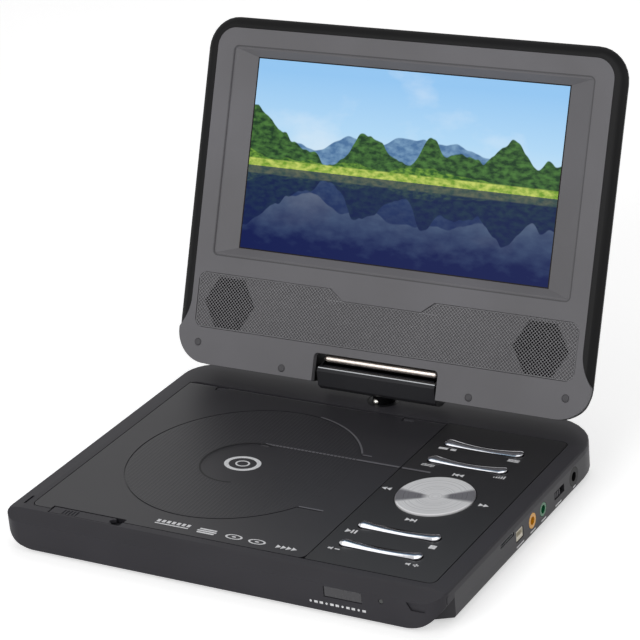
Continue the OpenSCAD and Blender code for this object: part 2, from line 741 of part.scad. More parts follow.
module disc_deck() color(panel_black) in_frame() translate([disc_x, disc_y, 0]) {
  difference() {
    union() {
      translate([0, 0, deck_z - deck_t]) cylinder(r = well_r + deck_wall, h = deck_t, $fn = 128);
      translate([0, 0, deck_z - eps]) ring(well_r + deck_wall, well_r, ledge_z - deck_z + eps, $fn = 128);
    }
    translate([0, 0, deck_z - deck_t - cut]) cylinder(r = 12.6, h = deck_t + 2 * cut);
    span([-8, 8], [-pickup_in - pickup_travel - 5.5, 0], [deck_z - deck_t - cut, deck_z + cut]);
    // Shallow step for small discs
    translate([0, 0, deck_z - 0.4]) ring(41, 30, 1);
    // Room for the lid's rolled edge
    translate([0, hinge_y - disc_y, hinge_z]) rod_x(lid_t + loose, -well_r, well_r);
  }
}

module drive_chassis() color(steel) in_frame() {
  difference() {
    span(chassis_x, chassis_y, [chassis_z, chassis_z + chassis_t]);
    span([disc_x - pickup_w / 2 - 1, disc_x + pickup_w / 2 + 1],
      [pickup_y - pickup_travel - pickup_l / 2 - 0.6, pickup_y + pickup_l / 2 + 0.6],
      [chassis_z - cut, chassis_z + chassis_t + cut]);
    translate([disc_x, disc_y, chassis_z - cut]) cylinder(r = 9.6, h = chassis_t + 2 * cut);
    for (p = damper_at)
      translate([p[0], p[1], chassis_z - cut]) cylinder(r = 1.2, h = chassis_t + 2 * cut);
  }
  // Hangers for the guide rods
  for (s = [-1, 1], y = [chassis_y[0], pickup_y + pickup_l / 2 + 1])
    difference() {
      span([disc_x + s * rod_gap / 2 - rod_r - 0.5, disc_x + s * rod_gap / 2 + rod_r + 0.5], [y, y + 1.4],
        [rod_z - rod_r - 0.6, chassis_z + eps]);
      translate([disc_x + s * rod_gap / 2, y, rod_z]) rod_y(rod_r + run, -cut, 3);
    }
  translate([gear_x, gear_y, wheel_z - 0.2]) cylinder(r = gear_pin_r, h = chassis_z - wheel_z + 0.2 + eps);
}

module guide_rods() color(steel) in_frame()
  for (s = [-1, 1])
    translate([disc_x + s * rod_gap / 2, 0, rod_z])
      rod_y(rod_r, chassis_y[0] + 0.1, pickup_y + pickup_l / 2 + 2.3);

module drive_dampers() color("#1c1c1c") in_frame()
  for (p = damper_at)
    translate([p[0], p[1], floor_z]) rotate_extrude()
      let (h = chassis_z - floor_z)
        polygon([[0, 0], [damper_r, 0], [damper_r, h * 0.35], [damper_r - 0.7, h * 0.42],
          [damper_r - 0.7, h * 0.58], [damper_r, h * 0.65], [damper_r, h], [0, h]]);

hub_low = chassis_z + 0.3;
spindle_shaft_r = 1;

module spindle_motor() color(steel) in_frame() translate([disc_x, disc_y, 0]) {
  difference() {
    union() {
      translate([0, 0, floor_z + 0.7]) cylinder(r = motor_r, h = chassis_z - floor_z - 0.7);
      translate([0, 0, chassis_z - eps]) cylinder(r = 5, h = 0.2);
    }
    translate([0, 0, floor_z + 1.2]) cylinder(r = spindle_shaft_r + run, h = chassis_z);
  }
}

module spindle_hub() color("#d9d7cf") in_frame() translate([disc_x, disc_y, 0]) {
  rotate_extrude() polygon([[0, floor_z + 1.4], [spindle_shaft_r, floor_z + 1.4], [spindle_shaft_r, hub_low],
    [9, hub_low], [9, disc_z - 1.2], [11, disc_z - 1.2], [11, disc_z], [spindle_r, disc_z],
    [spindle_r, disc_z + 0.9], [spindle_r - 1.4, disc_z + 1.6], [2.4, disc_z + 1.6],
    [1.8, disc_z + 1], [0, disc_z + 1]]);
  for (a = [30:120:270])
    rotate(a) translate([spindle_r - 0.7, 0, disc_z + 0.75]) sphere(r = 0.85);
}

module optical_pickup() color("#3c3d42") in_frame() translate([disc_x, pickup_y, 0]) {
  difference() {
    union() {
      span([-pickup_w / 2, pickup_w / 2], [-pickup_l / 2, pickup_l / 2], [pickup_z, chassis_z + 0.8]);
      span([-ear_out, ear_out], [-5, 5], [pickup_z, chassis_z - 0.25]);
    }
    for (s = [-1, 1])
      translate([s * rod_gap / 2, 0, rod_z]) rod_y(rod_r + run, -pickup_l, pickup_l);
    for (s = [-1, 1])
      span([s * 11 - 2.5, s * 11 + 2.5], [-5, 5], [chassis_z + 0.2, chassis_z + 2]);
  }
  translate([0, 0, chassis_z + 0.8 - eps]) cylinder(r = 4.2, h = 0.5);
  // Rack along the right flank
  translate([ear_out, 0, pickup_z]) {
    span([-eps, rack_x - disc_x - ear_out - rack_m],
      [gear_y - pickup_y - 3.4, gear_y - pickup_y + pickup_travel + 4], [0, rack_h]);
    translate([rack_x - disc_x - ear_out, gear_y - pickup_y, 0])
      for (k = [-1:ceil(pickup_travel / (PI * rack_m)) + 1])
        translate([0, k * PI * rack_m, 0]) linear_extrude(rack_h) rack_tooth(rack_m);
  }
}

module pickup_lens() color("#8fb4d8") in_frame() translate([disc_x, pickup_y, chassis_z + 1.3]) {
  cylinder(r = 2.2, h = 0.5);
  translate([0, 0, 0.5 - eps]) intersection() {
    translate([0, 0, -2.6]) sphere(r = 3.2);
    cylinder(r = 1.9, h = 2);
  }
}

module drive_gear() color("#e4e0d4") in_frame() translate([gear_x, gear_y, 0]) {
  difference() {
    union() {
      translate([0, 0, wheel_z]) linear_extrude(wheel_t) gear_outline(wheel_teeth, wheel_m, 0.15);
      translate([0, 0, wheel_z + wheel_t - eps]) cylinder(r = 2.6, h = 0.3 + 2 * eps);
      translate([0, 0, wheel_z + wheel_t + 0.3]) rotate(180 / rack_teeth)
        linear_extrude(rack_h) gear_outline(rack_teeth, rack_m);
    }
    translate([0, 0, wheel_z - cut]) cylinder(r = gear_pin_r + run, h = 8);
    for (a = [0:60:300])
      rotate(a) translate([6, 0, wheel_z - cut]) cylinder(r = 1.2, h = wheel_t + 2 * cut);
  }
}

module motor_pinion() color("#caa64a") in_frame() translate([motor_x, gear_y, 0]) {
  translate([0, 0, wheel_z]) rotate(180 + 180 / motor_teeth)
    linear_extrude(wheel_t) gear_outline(motor_teeth, wheel_m, 0.15);
  translate([0, 0, wheel_z]) cylinder(r = sled_shaft_r, h = chassis_z - wheel_z - 0.6);
}

module sled_motor() color(steel) in_frame() translate([motor_x, gear_y, 0])
  difference() {
    low = wheel_z + wheel_t + 0.5;
    translate([0, 0, low]) cylinder(r = sled_motor_r, h = chassis_z - low);
    translate([0, 0, wheel_z]) cylinder(r = sled_shaft_r + run, h = chassis_z - wheel_z - 0.4);
  }

// Electronics

// Chips on the main board: middle from the board's left edge and from the disc's middle, width, depth, height
chips = [[35, 1, 18, 18, 1.4], [33, 27, 10, 18, 1], [6, -6, 4, 28, 2]];
capacitor_at = [[36, -30], [36, -22]];
capacitor_r = 3;
capacitor_h = 3.4;
switch_box = [side_x - 12, side_x - 5];
switch_end = 2;                    // box of the power switch beyond its slider's travel
battery_end = 12.1;
battery_l = lid_d - 2 * battery_end;
battery_in = 8.6;                  // battery's distance from the left wall

module main_board() color(board_green) in_frame() {
  span(board_x, board_y, [board_z, board_z + board_t]);
  translate([board_x[0], disc_y, board_z + board_t - eps]) {
    for (c = chips)
      translate([c[0], c[1], 0]) linear_extrude(c[4] + eps) square([c[2], c[3]], center = true);
    for (c = capacitor_at)
      translate([c[0], c[1], 0]) cylinder(r = capacitor_r, h = capacitor_h);
  }
  // Body of the power switch
  span(switch_box, [switch_y - switch_half - switch_end, switch_y + switch_half + switch_travel + switch_end],
    [board_z, board_z + board_t + 4]);
}

module battery_pack() color("#2f4f86") in_frame() {
  x = [-base_w / 2 + wall + battery_in, chassis_x[0] - 2];
  translate([(x[0] + x[1]) / 2, disc_y, floor_z]) {
    plate(x[1] - x[0], battery_l, chassis_z - floor_z - 0.4, 3);
    translate([0, battery_l / 2 + 0.8, 1]) linear_extrude(2.4) square([10, 2], center = true);
  }
}

// A round socket in a box body, with its mouth on the right side
module round_socket(y, r, bore, depth, box_w, box_l) {
  translate([side_x, y, 0]) difference() {
    union() {
      span([-box_l, -wall - 0.4], [-box_w / 2, box_w / 2], [board_z + board_t, port_z + 2.3]);
      translate([0, 0, port_z]) rod_x(r, -wall - 1, 0);
    }
    translate([0, 0, port_z]) rod_x(bore, -depth, cut);
  }
}

module dc_jack() color("#161616") in_frame() {
  round_socket(dc_y, 4.1, 2.1, 9, 9, 12);
  translate([side_x, dc_y, port_z]) rod_x(0.7, -9 - eps, -1.5);
}

module headphone_jack() color("#1f7a4d") in_frame() round_socket(phone_y, 3, 1.8, 12, 6.6, 13.5);

module av_jack() color("#f0b020") in_frame() round_socket(av_y, 3.3, 1.8, 12, 6.6, 13.5);

module usb_port() color("#e9e2cf") in_frame() translate([side_x, usb_y, 0])
  difference() {
    span([-9, -0.3], [-3.25, 3.25], [board_z + board_t, port_z + 2.35]);
    span([-7.5, cut], [-2.6, 2.6], [port_z - 0.4, port_z + 1.6]);
  }

module card_slot() color("#9a9ca0") in_frame() translate([side_x, card_y, 0])
  difference() {
    union() {
      span([-15, -0.4], [-6, 6], [port_z + 2.35, port_z + 3.75]);
      for (y = [-5.4, 4.2])
        span([-14, -wall - 0.4], [y, y + 1.2], [board_z + board_t, port_z + 2.4]);
    }
    span([-14, cut], [-5.5, 5.5], [port_z + 2.65, port_z + 3.45]);
  }

module power_switch() color("#151515") in_frame() translate([side_x, switch_y, 0]) {
  span([-4.8, -0.6], [-switch_half, switch_half], [port_z - 1.4, port_z + 1.4]);
  for (y = [-1.8, 0, 1.8])
    span([-0.6 - eps, -0.1], [y - 0.3, y + 0.3], [port_z - 1.2, port_z + 1.2]);
}

module ir_window() color("#1b1216") in_frame() translate([ir_x, 0, 0]) {
  x = ir_w / 2;
  z = ir_h / 2;
  span([-x + fit, x - fit], [0.25, wall], [ir_z - z + fit, ir_z + z - fit]);
  span([-x - 1.5, x + 1.5], [wall, wall + 1], [ir_z - z - 1, ledge_z - fit]);
}

module status_led() color("#5d6b60") in_frame() translate([led_x, 0, ir_z + 0.6]) {
  rod_y(led_r, 0.1, wall + 1.5);
  rod_y(led_r + 0.2, wall, wall + 1.5);
}

module rubber_feet() color("#1a1a1a") in_frame()
  for (p = foot_at)
    translate([p[0], p[1], 0]) rotate_extrude()
      polygon([[0, 0], [foot_r - 0.8, 0], [foot_r, 0.8], [foot_r, foot_h + foot_in], [0, foot_h + foot_in]]);

module case_screws() color(steel) in_frame()
  for (p = case_screw_at)
    translate([p[0], p[1], screw_seat]) screw(split_z - screw_seat);

// Hinge turret

block_d = 14.4;
block_r = 8.3;
block_top = 4.2;
block_cheek = 1;
post_in = 1.6;
clip_t = 1;
clip_z = top_z - bush_l - 0.1 - clip_t;

module swivel_bush() color("#1b1b1d") in_frame() translate([0, pivot_y, 0])
  difference() {
    union() {
      translate([0, 0, top_z - bush_l]) cylinder(r = bush_r, h = bush_l - 0.1);
      translate([0, 0, top_z - 1]) cylinder(r = bush_flange, h = 0.9);
    }
    translate([0, 0, top_z - bush_l - cut]) cylinder(r = post_r + run, h = bush_l + 2 * cut);
  }

module swivel_post() color(steel) in_frame() translate([0, pivot_y, 0])
  difference() {
    translate([0, 0, clip_z - 1]) cylinder(r = post_r, h = pivot_z - block_r + post_in - clip_z + 1);
    translate([0, 0, clip_z - 2]) cylinder(r = 2.2, h = pivot_z);
    translate([0, 0, clip_z - 0.1]) ring(post_r + cut, post_r - 0.8, clip_t + 0.2);
  }

module post_clip() color(steel) in_frame() translate([0, pivot_y, clip_z])
  difference() {
    cylinder(r = post_r + 2.4, h = clip_t);
    translate([0, 0, -cut]) cylinder(r = post_r - 0.7, h = clip_t + 2 * cut);
    span([-1.5, 1.5], [0, 2 * post_r], [-cut, clip_t + cut]);
  }

module turret_block() color("#2a2a2d") in_frame() translate([0, pivot_y, pivot_z])
  difference() {
    translate([-block_w / 2, 0, 0]) rotate([90, 0, 90]) linear_extrude(block_w) intersection() {
      circle(block_r);
      polygon([[-block_d / 2, -block_r], [block_d / 2, -block_r], [block_d / 2, block_top - 1.5],
        [block_d / 2 - 1.5, block_top], [-block_d / 2 + 1.5, block_top], [-block_d / 2, block_top - 1.5]]);
    }
    rod_x(barrel_r + fit, -block_w / 2 + block_cheek, block_w / 2 - block_cheek);
    rod_x(shaft_r + 0.4, -block_w, block_w);
    translate([0, 0, -block_r - cut]) cylinder(r = post_r + fit, h = post_in + cut);
    translate([0, 0, -block_r - cut]) cylinder(r = 2.2, h = block_r);
  }

module hinge_barrel() color(chrome) in_frame() translate([0, pivot_y, pivot_z]) {
  half = block_w / 2 - block_cheek - fit;
  difference() {
    rotate([0, 90, 0]) rotate_extrude() polygon([[0, -half], [barrel_r - 0.5, -half], [barrel_r, -half + 0.5],
      [barrel_r, half - 0.5], [barrel_r - 0.5, half], [0, half]]);
    rod_x(shaft_r + run, -block_w, block_w);
  }
}

// Screen

// Front of the bezel, which widens to the housing's edge below
module bezel_outline(extra) {
  x = screen_w / 2 - bezel_side + extra;
  top = screen_top - bezel_top + extra;
  steps = 8;
  curve = [for (k = [0:steps])
    [x + (bezel_side + 1) * pow(k / steps, 2), flare[0] + (flare[1] - flare[0]) * k / steps]];
  low = -pivot_up - 2;
  intersection() {
    translate([0, top - screen_h / 2]) round_rect(2 * x, screen_h, bezel_r + extra);
    translate([-screen_w, flare[0] - eps]) square([2 * screen_w, screen_h]);
  }
  polygon(concat(curve, [[screen_w / 2 + 2, low], [-screen_w / 2 - 2, low]],
    [for (k = [steps:-1:0]) [-curve[k][0], curve[k][1]]]));
}

// Upright plate: a drawing in X and height, from one depth to another
module upright(y0, y1) {
  translate([0, y1, 0]) rotate([90, 0, 0]) linear_extrude(y1 - y0) children();
}

module notch_outline(extra) {
  w = notch_w + 2 * extra;
  h = notch_up + pivot_up + 4;
  translate([0, notch_up + extra - h / 2 - 2]) round_rect(w, h + 4, 2 + extra);
}

// Midway between the display and the housing's wall
corner_screw_x = (picture_w / 2 + lcd_rim + screen_w / 2 - cavity_form[0][1]) / 2;
corner_screw_at = [for (x = [-1, 1], v = [46, screen_top - 18]) [x * corner_screw_x, v]];
bracket_screw_at = [for (x = [-1, 1]) [x * (bracket_x + 14), 16]];
shell_screw_at = concat(corner_screw_at, bracket_screw_at);
screw_boss_y = half_t - 5.4;       // where a cover screw's head is seated

module screen_back() color(shell_black) on_screen() {
  difference() {
    union() {
      difference() {
        screen_loft(shell_form);
        screen_loft(cavity_form);
        upright(-half_t - cut, bezel_t - half_t) bezel_outline(fit);
      }
      intersection() {
        screen_loft(shell_form);
        upright(bezel_t - half_t + fit, half_t) notch_outline(shell);
      }
      for (p = shell_screw_at)
        translate([p[0], 0, p[1]]) rod_y(3.4, screw_boss_y - 1.6, half_t - 1);
    }
    upright(-half_t - cut, half_t + cut) notch_outline(0);
    rod_x(shaft_r + 0.4, -bracket_x - cut, bracket_x + cut);
    for (s = [-1, 1])
      translate([s * (bracket_x + 5.2), 0, 0]) rod_x(bracket_r + 0.4, -5.2 + eps, 5.2);
    for (p = shell_screw_at)
      translate([p[0], 0, p[1]]) {
        rod_y(screw_r + run, -half_t, half_t);
        rod_y(screw_head_r + 0.4, screw_boss_y, half_t + cut);
      }
    for (k = [-7:7])
      upright(half_t - 2 * shell, half_t + cut) translate([k * 5, 62]) round_rect(2, 14, 0.9);
  }
}

module grille_outline(extra) {
  low = grille_top - grille_h;
  intersection() {
    translate([0, grille_top - grille_h / 2])
      round_rect(grille_w + 2 * extra, grille_h + 2 * extra, 4 + extra);
    polygon([[-grille_w, low - cut], [-grille_w, grille_top + cut], [-dip_w[0] + extra, grille_top + cut],
      [-dip_w[1] + extra, grille_top - dip_h + extra], [dip_w[1] - extra, grille_top - dip_h + extra],
      [dip_w[0] - extra, grille_top + cut], [grille_w, grille_top + cut], [grille_w, low - cut]]);
  }
}

bumper_at = [for (s = [-1, 1])
  each [[s * (screen_w / 2 - 11.2), 4.7], [s * (notch_w / 2 + 15.8), -1.4]]];
bumper_r = 1.7;

module screen_bezel() color(bezel_grey) on_screen()
  difference() {
    union() {
      upright(-half_t, bezel_t - half_t) intersection() {
        bezel_outline(0);
        translate([0, screen_top - screen_h / 2])
          round_rect(screen_w - 2 * bezel_edge, screen_h - 2 * bezel_edge, screen_r - bezel_edge);
      }
      for (p = corner_screw_at)
        translate([p[0], 0, p[1]]) rod_y(post_out, bezel_t - half_t - eps, screw_boss_y - 1.7);
      for (p = bracket_screw_at)
        translate([p[0], 0, p[1]]) rod_y(post_out, bezel_t - half_t - eps, -0.9);
    }
    // Sloped frame round the picture
    upright(-half_t - cut, frame_step - half_t) translate([0, picture_up]) round_rect(frame_w, frame_h, 2);
    hull() {
      translate([0, frame_step - half_t - eps / 2, picture_up])
        cube([frame_w - 1.6, eps, frame_h - 1.6], center = true);
      translate([-picture_w / 2, bezel_t - half_t, picture_up - picture_h / 2])
        cube([picture_w, eps, picture_h]);
    }
    upright(-half_t - cut, half_t) notch_outline(0);
    upright(-half_t - cut, -half_t + grille_in + grille_t) grille_outline(fit);
    for (s = [-1, 1])
      translate([s * speaker_x, 0, speaker_up]) rod_y(speaker_hex, -half_t, 0, $fn = 6);
    for (p = bumper_at)
      translate([p[0], 0, p[1]]) rod_y(bumper_r + run, -half_t - cut, -half_t + 1.6);
    for (p = shell_screw_at)
      translate([p[0], 0, p[1]]) rod_y(screw_r + run, bezel_t - half_t, half_t);
  }

hole_pitch = 2.4;
hole_r = 0.7;

module speaker_grille() color("#5c5c5f") on_screen()
  difference() {
    upright(-half_t + grille_in, -half_t + grille_in + grille_t) grille_outline(0);
    field = speaker_hex * sin(60) - hole_r - 0.2;   // from the middle to a flat side of the holes' field
    rows = floor(field / (hole_pitch * sin(60)));
    for (s = [-1, 1], j = [-rows:rows], i = [-6:6]) {
      x = (i + (j % 2 == 0 ? 0 : 0.5)) * hole_pitch;
      v = j * hole_pitch * sin(60);
      if (abs(x) * sin(60) + abs(v) / 2 < field)
        translate([s * speaker_x + x, 0, speaker_up + v]) rod_y(hole_r, -half_t, 0, $fn = 16);
    }
  }

lcd_t = 1.6;
light_t = 3.4;
board_s = [picture_w - 44.2, picture_h - 37];   // board behind the display
driver_s = 14;
plug_s = [22, 5];

module lcd_panel() color("#20242c") on_screen()
  upright(bezel_t - half_t, bezel_t - half_t + lcd_t)
    translate([0, picture_up]) square([picture_w + 2 * lcd_rim, picture_h + 2 * lcd_rim], center = true);

module lcd_backlight() color("#c9ccd0") on_screen()
  upright(bezel_t - half_t + lcd_t, bezel_t - half_t + lcd_t + light_t)
    translate([0, picture_up])
      square([picture_w + 2 * lcd_rim + 2, picture_h + 2 * lcd_rim + 2], center = true);

module screen_board() color(board_green) on_screen() {
  y0 = bezel_t - half_t + lcd_t + light_t;
  upright(y0, y0 + 1.2) translate([0, picture_up]) square(board_s, center = true);
  upright(y0 + 1.2 - eps, y0 + 2.4) translate([12, picture_up + 6]) square(driver_s, center = true);
  upright(y0 + 1.2 - eps, y0 + 3.2) translate([-30, picture_up - 16]) square(plug_s, center = true);
}

speaker_rim = speaker_r + 1.6;
roll_r = speaker_r - 1.2;          // soft rim of the cone
magnet_r = 8.4;
speaker_t = 6.6;

module speaker(x) color("#2a2a2c") on_screen()
  translate([x, bezel_t - half_t, speaker_up]) rotate([-90, 0, 0]) rotate_extrude()
    polygon([[0, 2.2], [3.4, 1.6], [roll_r - 1.6, 0.6], [roll_r - 0.8, 0.1], [roll_r, 0.6], [roll_r + 0.8, 0],
      [speaker_rim, 0], [speaker_rim, 1.2], [speaker_rim - 2.4, 3], [magnet_r, 4.2], [magnet_r, speaker_t],
      [0, speaker_t]]);

module speaker_left() speaker(-speaker_x);
module speaker_right() speaker(speaker_x);

module screen_bumpers() color("#3a3a3c") on_screen()
  for (p = bumper_at)
    translate([p[0], -half_t - 0.4, p[1]]) rotate([-90, 0, 0]) rotate_extrude()
      polygon([[0, 0], [bumper_r - 0.5, 0], [bumper_r, 0.4], [bumper_r, 1.8], [0, 1.8]]);

module screen_screws() color(steel) on_screen()
  for (p = shell_screw_at)
    translate([p[0], screw_boss_y, p[1]]) rotate([90, 0, 0]) screw(screw_boss_y + half_t - bezel_t);

module tilt_shaft() color(steel) on_screen() {
  end = bracket_x + bracket_t + 0.2;
  rod_x(shaft_r, -end - 2, end + 2);
  for (s = [-1, 1])
    translate([s * (end + 1), 0, 0]) rod_x(shaft_r + 1, -1, 1);
}

module tilt_brackets() color("#8e9094") on_screen()
  for (s = [-1, 1])
    difference() {
      union() {
        translate([s * (bracket_x + bracket_t / 2 + 0.1), 0, 0]) {
          rod_x(bracket_r, -bracket_t / 2, bracket_t / 2);
          span([-bracket_t / 2, bracket_t / 2], [-bracket_r, bracket_r], [0, 24]);
        }
        translate([s * (bracket_x + 11), 0, 0]) span([-10.4, 10.4], [-0.8, screw_boss_y - 1.8], [10, 24]);
      }
      translate([s * bracket_x, 0, 0]) rod_x(shaft_r + run, -2 * bracket_t, 2 * bracket_t);
      for (p = shell_screw_at)
        translate([p[0], 0, p[1]]) rod_y(screw_r + run, -half_t, half_t);
    }

bottom_case();
top_case();
control_panel();
disc_deck();
main_board();
key_board();
battery_pack();
dc_jack();
headphone_jack();
av_jack();
usb_port();
card_slot();
ir_window();
status_led();
rubber_feet();
case_screws();
drive_chassis();
drive_dampers();
spindle_motor();
sled_motor();
guide_rods();
swivel_bush();
lid_hinge_pins();
disc_lid();
open_latch();
spindle_hub();
optical_pickup();
pickup_lens();
drive_gear();
motor_pinion();
menu_rocker();
search_rocker();
play_rocker();
volume_rocker();
nav_pivot();
nav_disc();
power_switch();
turret_block();
hinge_barrel();
swivel_post();
post_clip();
screen_back();
screen_bezel();
speaker_grille();
lcd_panel();
lcd_backlight();
speaker_left();
speaker_right();
screen_board();
screen_bumpers();
screen_screws();
tilt_shaft();
tilt_brackets();
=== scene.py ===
import json
import math

import bmesh
import bpy
from mathutils import Matrix, Vector


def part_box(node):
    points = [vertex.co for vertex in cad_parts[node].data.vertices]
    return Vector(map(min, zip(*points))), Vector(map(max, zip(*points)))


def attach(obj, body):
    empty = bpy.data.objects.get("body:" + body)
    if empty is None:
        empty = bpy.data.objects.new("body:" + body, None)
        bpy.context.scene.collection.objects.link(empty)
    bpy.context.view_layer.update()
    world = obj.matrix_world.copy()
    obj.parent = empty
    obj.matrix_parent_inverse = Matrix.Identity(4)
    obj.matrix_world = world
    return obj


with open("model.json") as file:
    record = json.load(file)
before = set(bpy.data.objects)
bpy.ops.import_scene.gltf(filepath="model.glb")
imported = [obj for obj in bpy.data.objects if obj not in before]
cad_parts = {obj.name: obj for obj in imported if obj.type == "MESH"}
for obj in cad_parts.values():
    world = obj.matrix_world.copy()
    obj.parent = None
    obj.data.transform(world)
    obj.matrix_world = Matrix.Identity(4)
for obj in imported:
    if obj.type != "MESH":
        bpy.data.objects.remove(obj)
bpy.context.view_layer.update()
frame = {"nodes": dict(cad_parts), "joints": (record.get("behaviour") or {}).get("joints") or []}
nodes = frame["nodes"]
joints = {j["name"]: j for j in frame["joints"]}
mm = 0.001
toMetres = Matrix.Diagonal((mm, mm, mm, 1))          # for what is drawn in mm
print("frame loaded:", len(nodes), "nodes")

# places that the pieces share, read from the frame
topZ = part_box("disc_lid")[1].z                       # upper face of lid and panel
discMid = Vector(joints["spindle_spin"]["pos_m"])
tiltMid = Vector(joints["screen_tilt"]["pos_m"])
lean = math.radians(-joints["screen_tilt"]["range_deg"][0] - 90)   # how far the screen leans back
screenPlace = Matrix.Translation(tiltMid) @ Matrix.Rotation(-lean, 4, "X")
# for a drawing in x and height that faces the user
drawnOnScreen = screenPlace @ Matrix.Rotation(math.radians(90), 4, "X")


def boxMid(name):
    low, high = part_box(name)
    return (low + high) / 2


# camera fitted to the photograph: place in mm, angles in degrees
camera = {"place": (502.23, -836.15, 495.04), "azimuth": 31.115, "elevation": 23.3225, "roll": -5.132,
          "lens": 141.3, "sensor": 36}


def makeCamera():
    data = bpy.data.cameras.new("camera")
    data.sensor_width = camera["sensor"]
    data.lens = camera["lens"]
    data.clip_start, data.clip_end = 0.05, 20
    obj = bpy.data.objects.new("camera", data)
    bpy.context.scene.collection.objects.link(obj)
    turn = Matrix.Rotation(math.radians(camera["azimuth"]), 4, "Z")
    rise = Matrix.Rotation(math.radians(90 - camera["elevation"]), 4, "X")
    roll = Matrix.Rotation(math.radians(camera["roll"]), 4, "Z")
    obj.matrix_world = Matrix.Translation(Vector(camera["place"]) * mm) @ turn @ rise @ roll
    bpy.context.scene.camera = obj


makeCamera()
print("camera placed")

# materials


def hexColour(code):
    parts = [int(code[i:i + 2], 16) / 255 for i in (1, 3, 5)]
    return tuple(c / 12.92 if c <= 0.04045 else ((c + 0.055) / 1.055) ** 2.4 for c in parts) + (1.0,)


def newMaterial(name, **sockets):
    mat = bpy.data.materials.new(name)
    mat.use_nodes = True
    bsdf = mat.node_tree.nodes["Principled BSDF"]
    for key, value in sockets.items():
        bsdf.inputs[key.replace("_", " ")].default_value = value
    return mat, bsdf


# adds one node; a key is an input's name or number, or else one of the node's own settings
def addNode(mat, kind, settings=None, links=None):
    node = mat.node_tree.nodes.new("ShaderNode" + kind)
    for key, value in (settings or {}).items():
        if isinstance(key, int) or key in node.inputs:
            node.inputs[key].default_value = value
        else:
            setattr(node, key, value)
    for key, source in (links or {}).items():
        mat.node_tree.links.new(source, node.inputs[key])
    return node


def setRamp(node, stops):
    ramp = node.color_ramp
    while len(ramp.elements) < len(stops):
        ramp.elements.new(0.5)
    for element, (place, colour) in zip(ramp.elements, stops):
        element.position = place
        element.color = colour if len(colour) == 4 else (*colour, 1)


# ABS moulded in a spark-eroded tool: an even satin skin whose fine pits break up the highlights.
# The real grain of about 0.1 mm is drawn coarser so that it shows.
def mouldedAbs(name, tone, shade, grain=0.5, depth=0.02, rough=(0.42, 0.56), gloss=0.4):
    mat, bsdf = newMaterial(name, IOR=1.54, Specular_IOR_Level=gloss)
    where = addNode(mat, "TexCoord").outputs["Object"]
    pits = addNode(mat, "TexNoise", {"Scale": 1 / (grain * mm), "Detail": 3.0}, {"Vector": where})
    drift = addNode(mat, "TexNoise", {"Scale": 1 / (45 * mm), "Detail": 2.0}, {"Vector": where})
    tint = addNode(mat, "ValToRGB", links={"Fac": drift.outputs["Fac"]})
    setRamp(tint, [(0.35, hexColour(shade)), (0.7, hexColour(tone))])
    sheen = addNode(mat, "MapRange", {"To Min": rough[0], "To Max": rough[1]}, {"Value": pits.outputs["Fac"]})
    bump = addNode(mat, "Bump", {"Strength": 0.35, "Distance": depth * mm}, {"Height": pits.outputs["Fac"]})
    mat.node_tree.links.new(tint.outputs["Color"], bsdf.inputs["Base Color"])
    mat.node_tree.links.new(sheen.outputs["Result"], bsdf.inputs["Roughness"])
    mat.node_tree.links.new(bump.outputs["Normal"], bsdf.inputs["Normal"])
    return mat


# ABS polished in the tool: glossy, with a slight waviness left by the moulding
def polishedAbs(name, tone, shade, rough=0.16):
    mat, bsdf = newMaterial(name, IOR=1.54)
    where = addNode(mat, "TexCoord").outputs["Object"]
    wave = addNode(mat, "TexNoise", {"Scale": 1 / (18 * mm), "Detail": 2.0}, {"Vector": where})
    dust = addNode(mat, "TexNoise", {"Scale": 1 / (1.5 * mm), "Detail": 4.0}, {"Vector": where})
    tint = addNode(mat, "ValToRGB", links={"Fac": wave.outputs["Fac"]})
    setRamp(tint, [(0.3, hexColour(shade)), (0.7, hexColour(tone))])
    sheen = addNode(mat, "MapRange", {"To Min": rough, "To Max": rough + 0.12}, {"Value": dust.outputs["Fac"]})
    bump = addNode(mat, "Bump", {"Strength": 0.06, "Distance": 0.2 * mm}, {"Height": wave.outputs["Fac"]})
    mat.node_tree.links.new(tint.outputs["Color"], bsdf.inputs["Base Color"])
    mat.node_tree.links.new(sheen.outputs["Result"], bsdf.inputs["Roughness"])
    mat.node_tree.links.new(bump.outputs["Normal"], bsdf.inputs["Normal"])
    return mat


# Chrome plate on plastic: a mirror that bends a little with the moulding under it
def chromePlate(name, tone, shade, rough=0.05):
    mat, bsdf = newMaterial(name, Metallic=1.0)
    where = addNode(mat, "TexCoord").outputs["Object"]
    wave = addNode(mat, "TexNoise", {"Scale": 1 / (9 * mm), "Detail": 1.0}, {"Vector": where})
    haze = addNode(mat, "TexNoise", {"Scale": 1 / (2 * mm), "Detail": 4.0}, {"Vector": where})
    tint = addNode(mat, "ValToRGB", links={"Fac": haze.outputs["Fac"]})
    setRamp(tint, [(0.3, hexColour(shade)), (0.7, hexColour(tone))])
    sheen = addNode(mat, "MapRange", {"To Min": rough, "To Max": rough + 0.09}, {"Value": haze.outputs["Fac"]})
    bump = addNode(mat, "Bump", {"Strength": 0.1, "Distance": 0.3 * mm}, {"Height": wave.outputs["Fac"]})
    mat.node_tree.links.new(tint.outputs["Color"], bsdf.inputs["Base Color"])
    mat.node_tree.links.new(sheen.outputs["Result"], bsdf.inputs["Roughness"])
    mat.node_tree.links.new(bump.outputs["Normal"], bsdf.inputs["Normal"])
    return mat


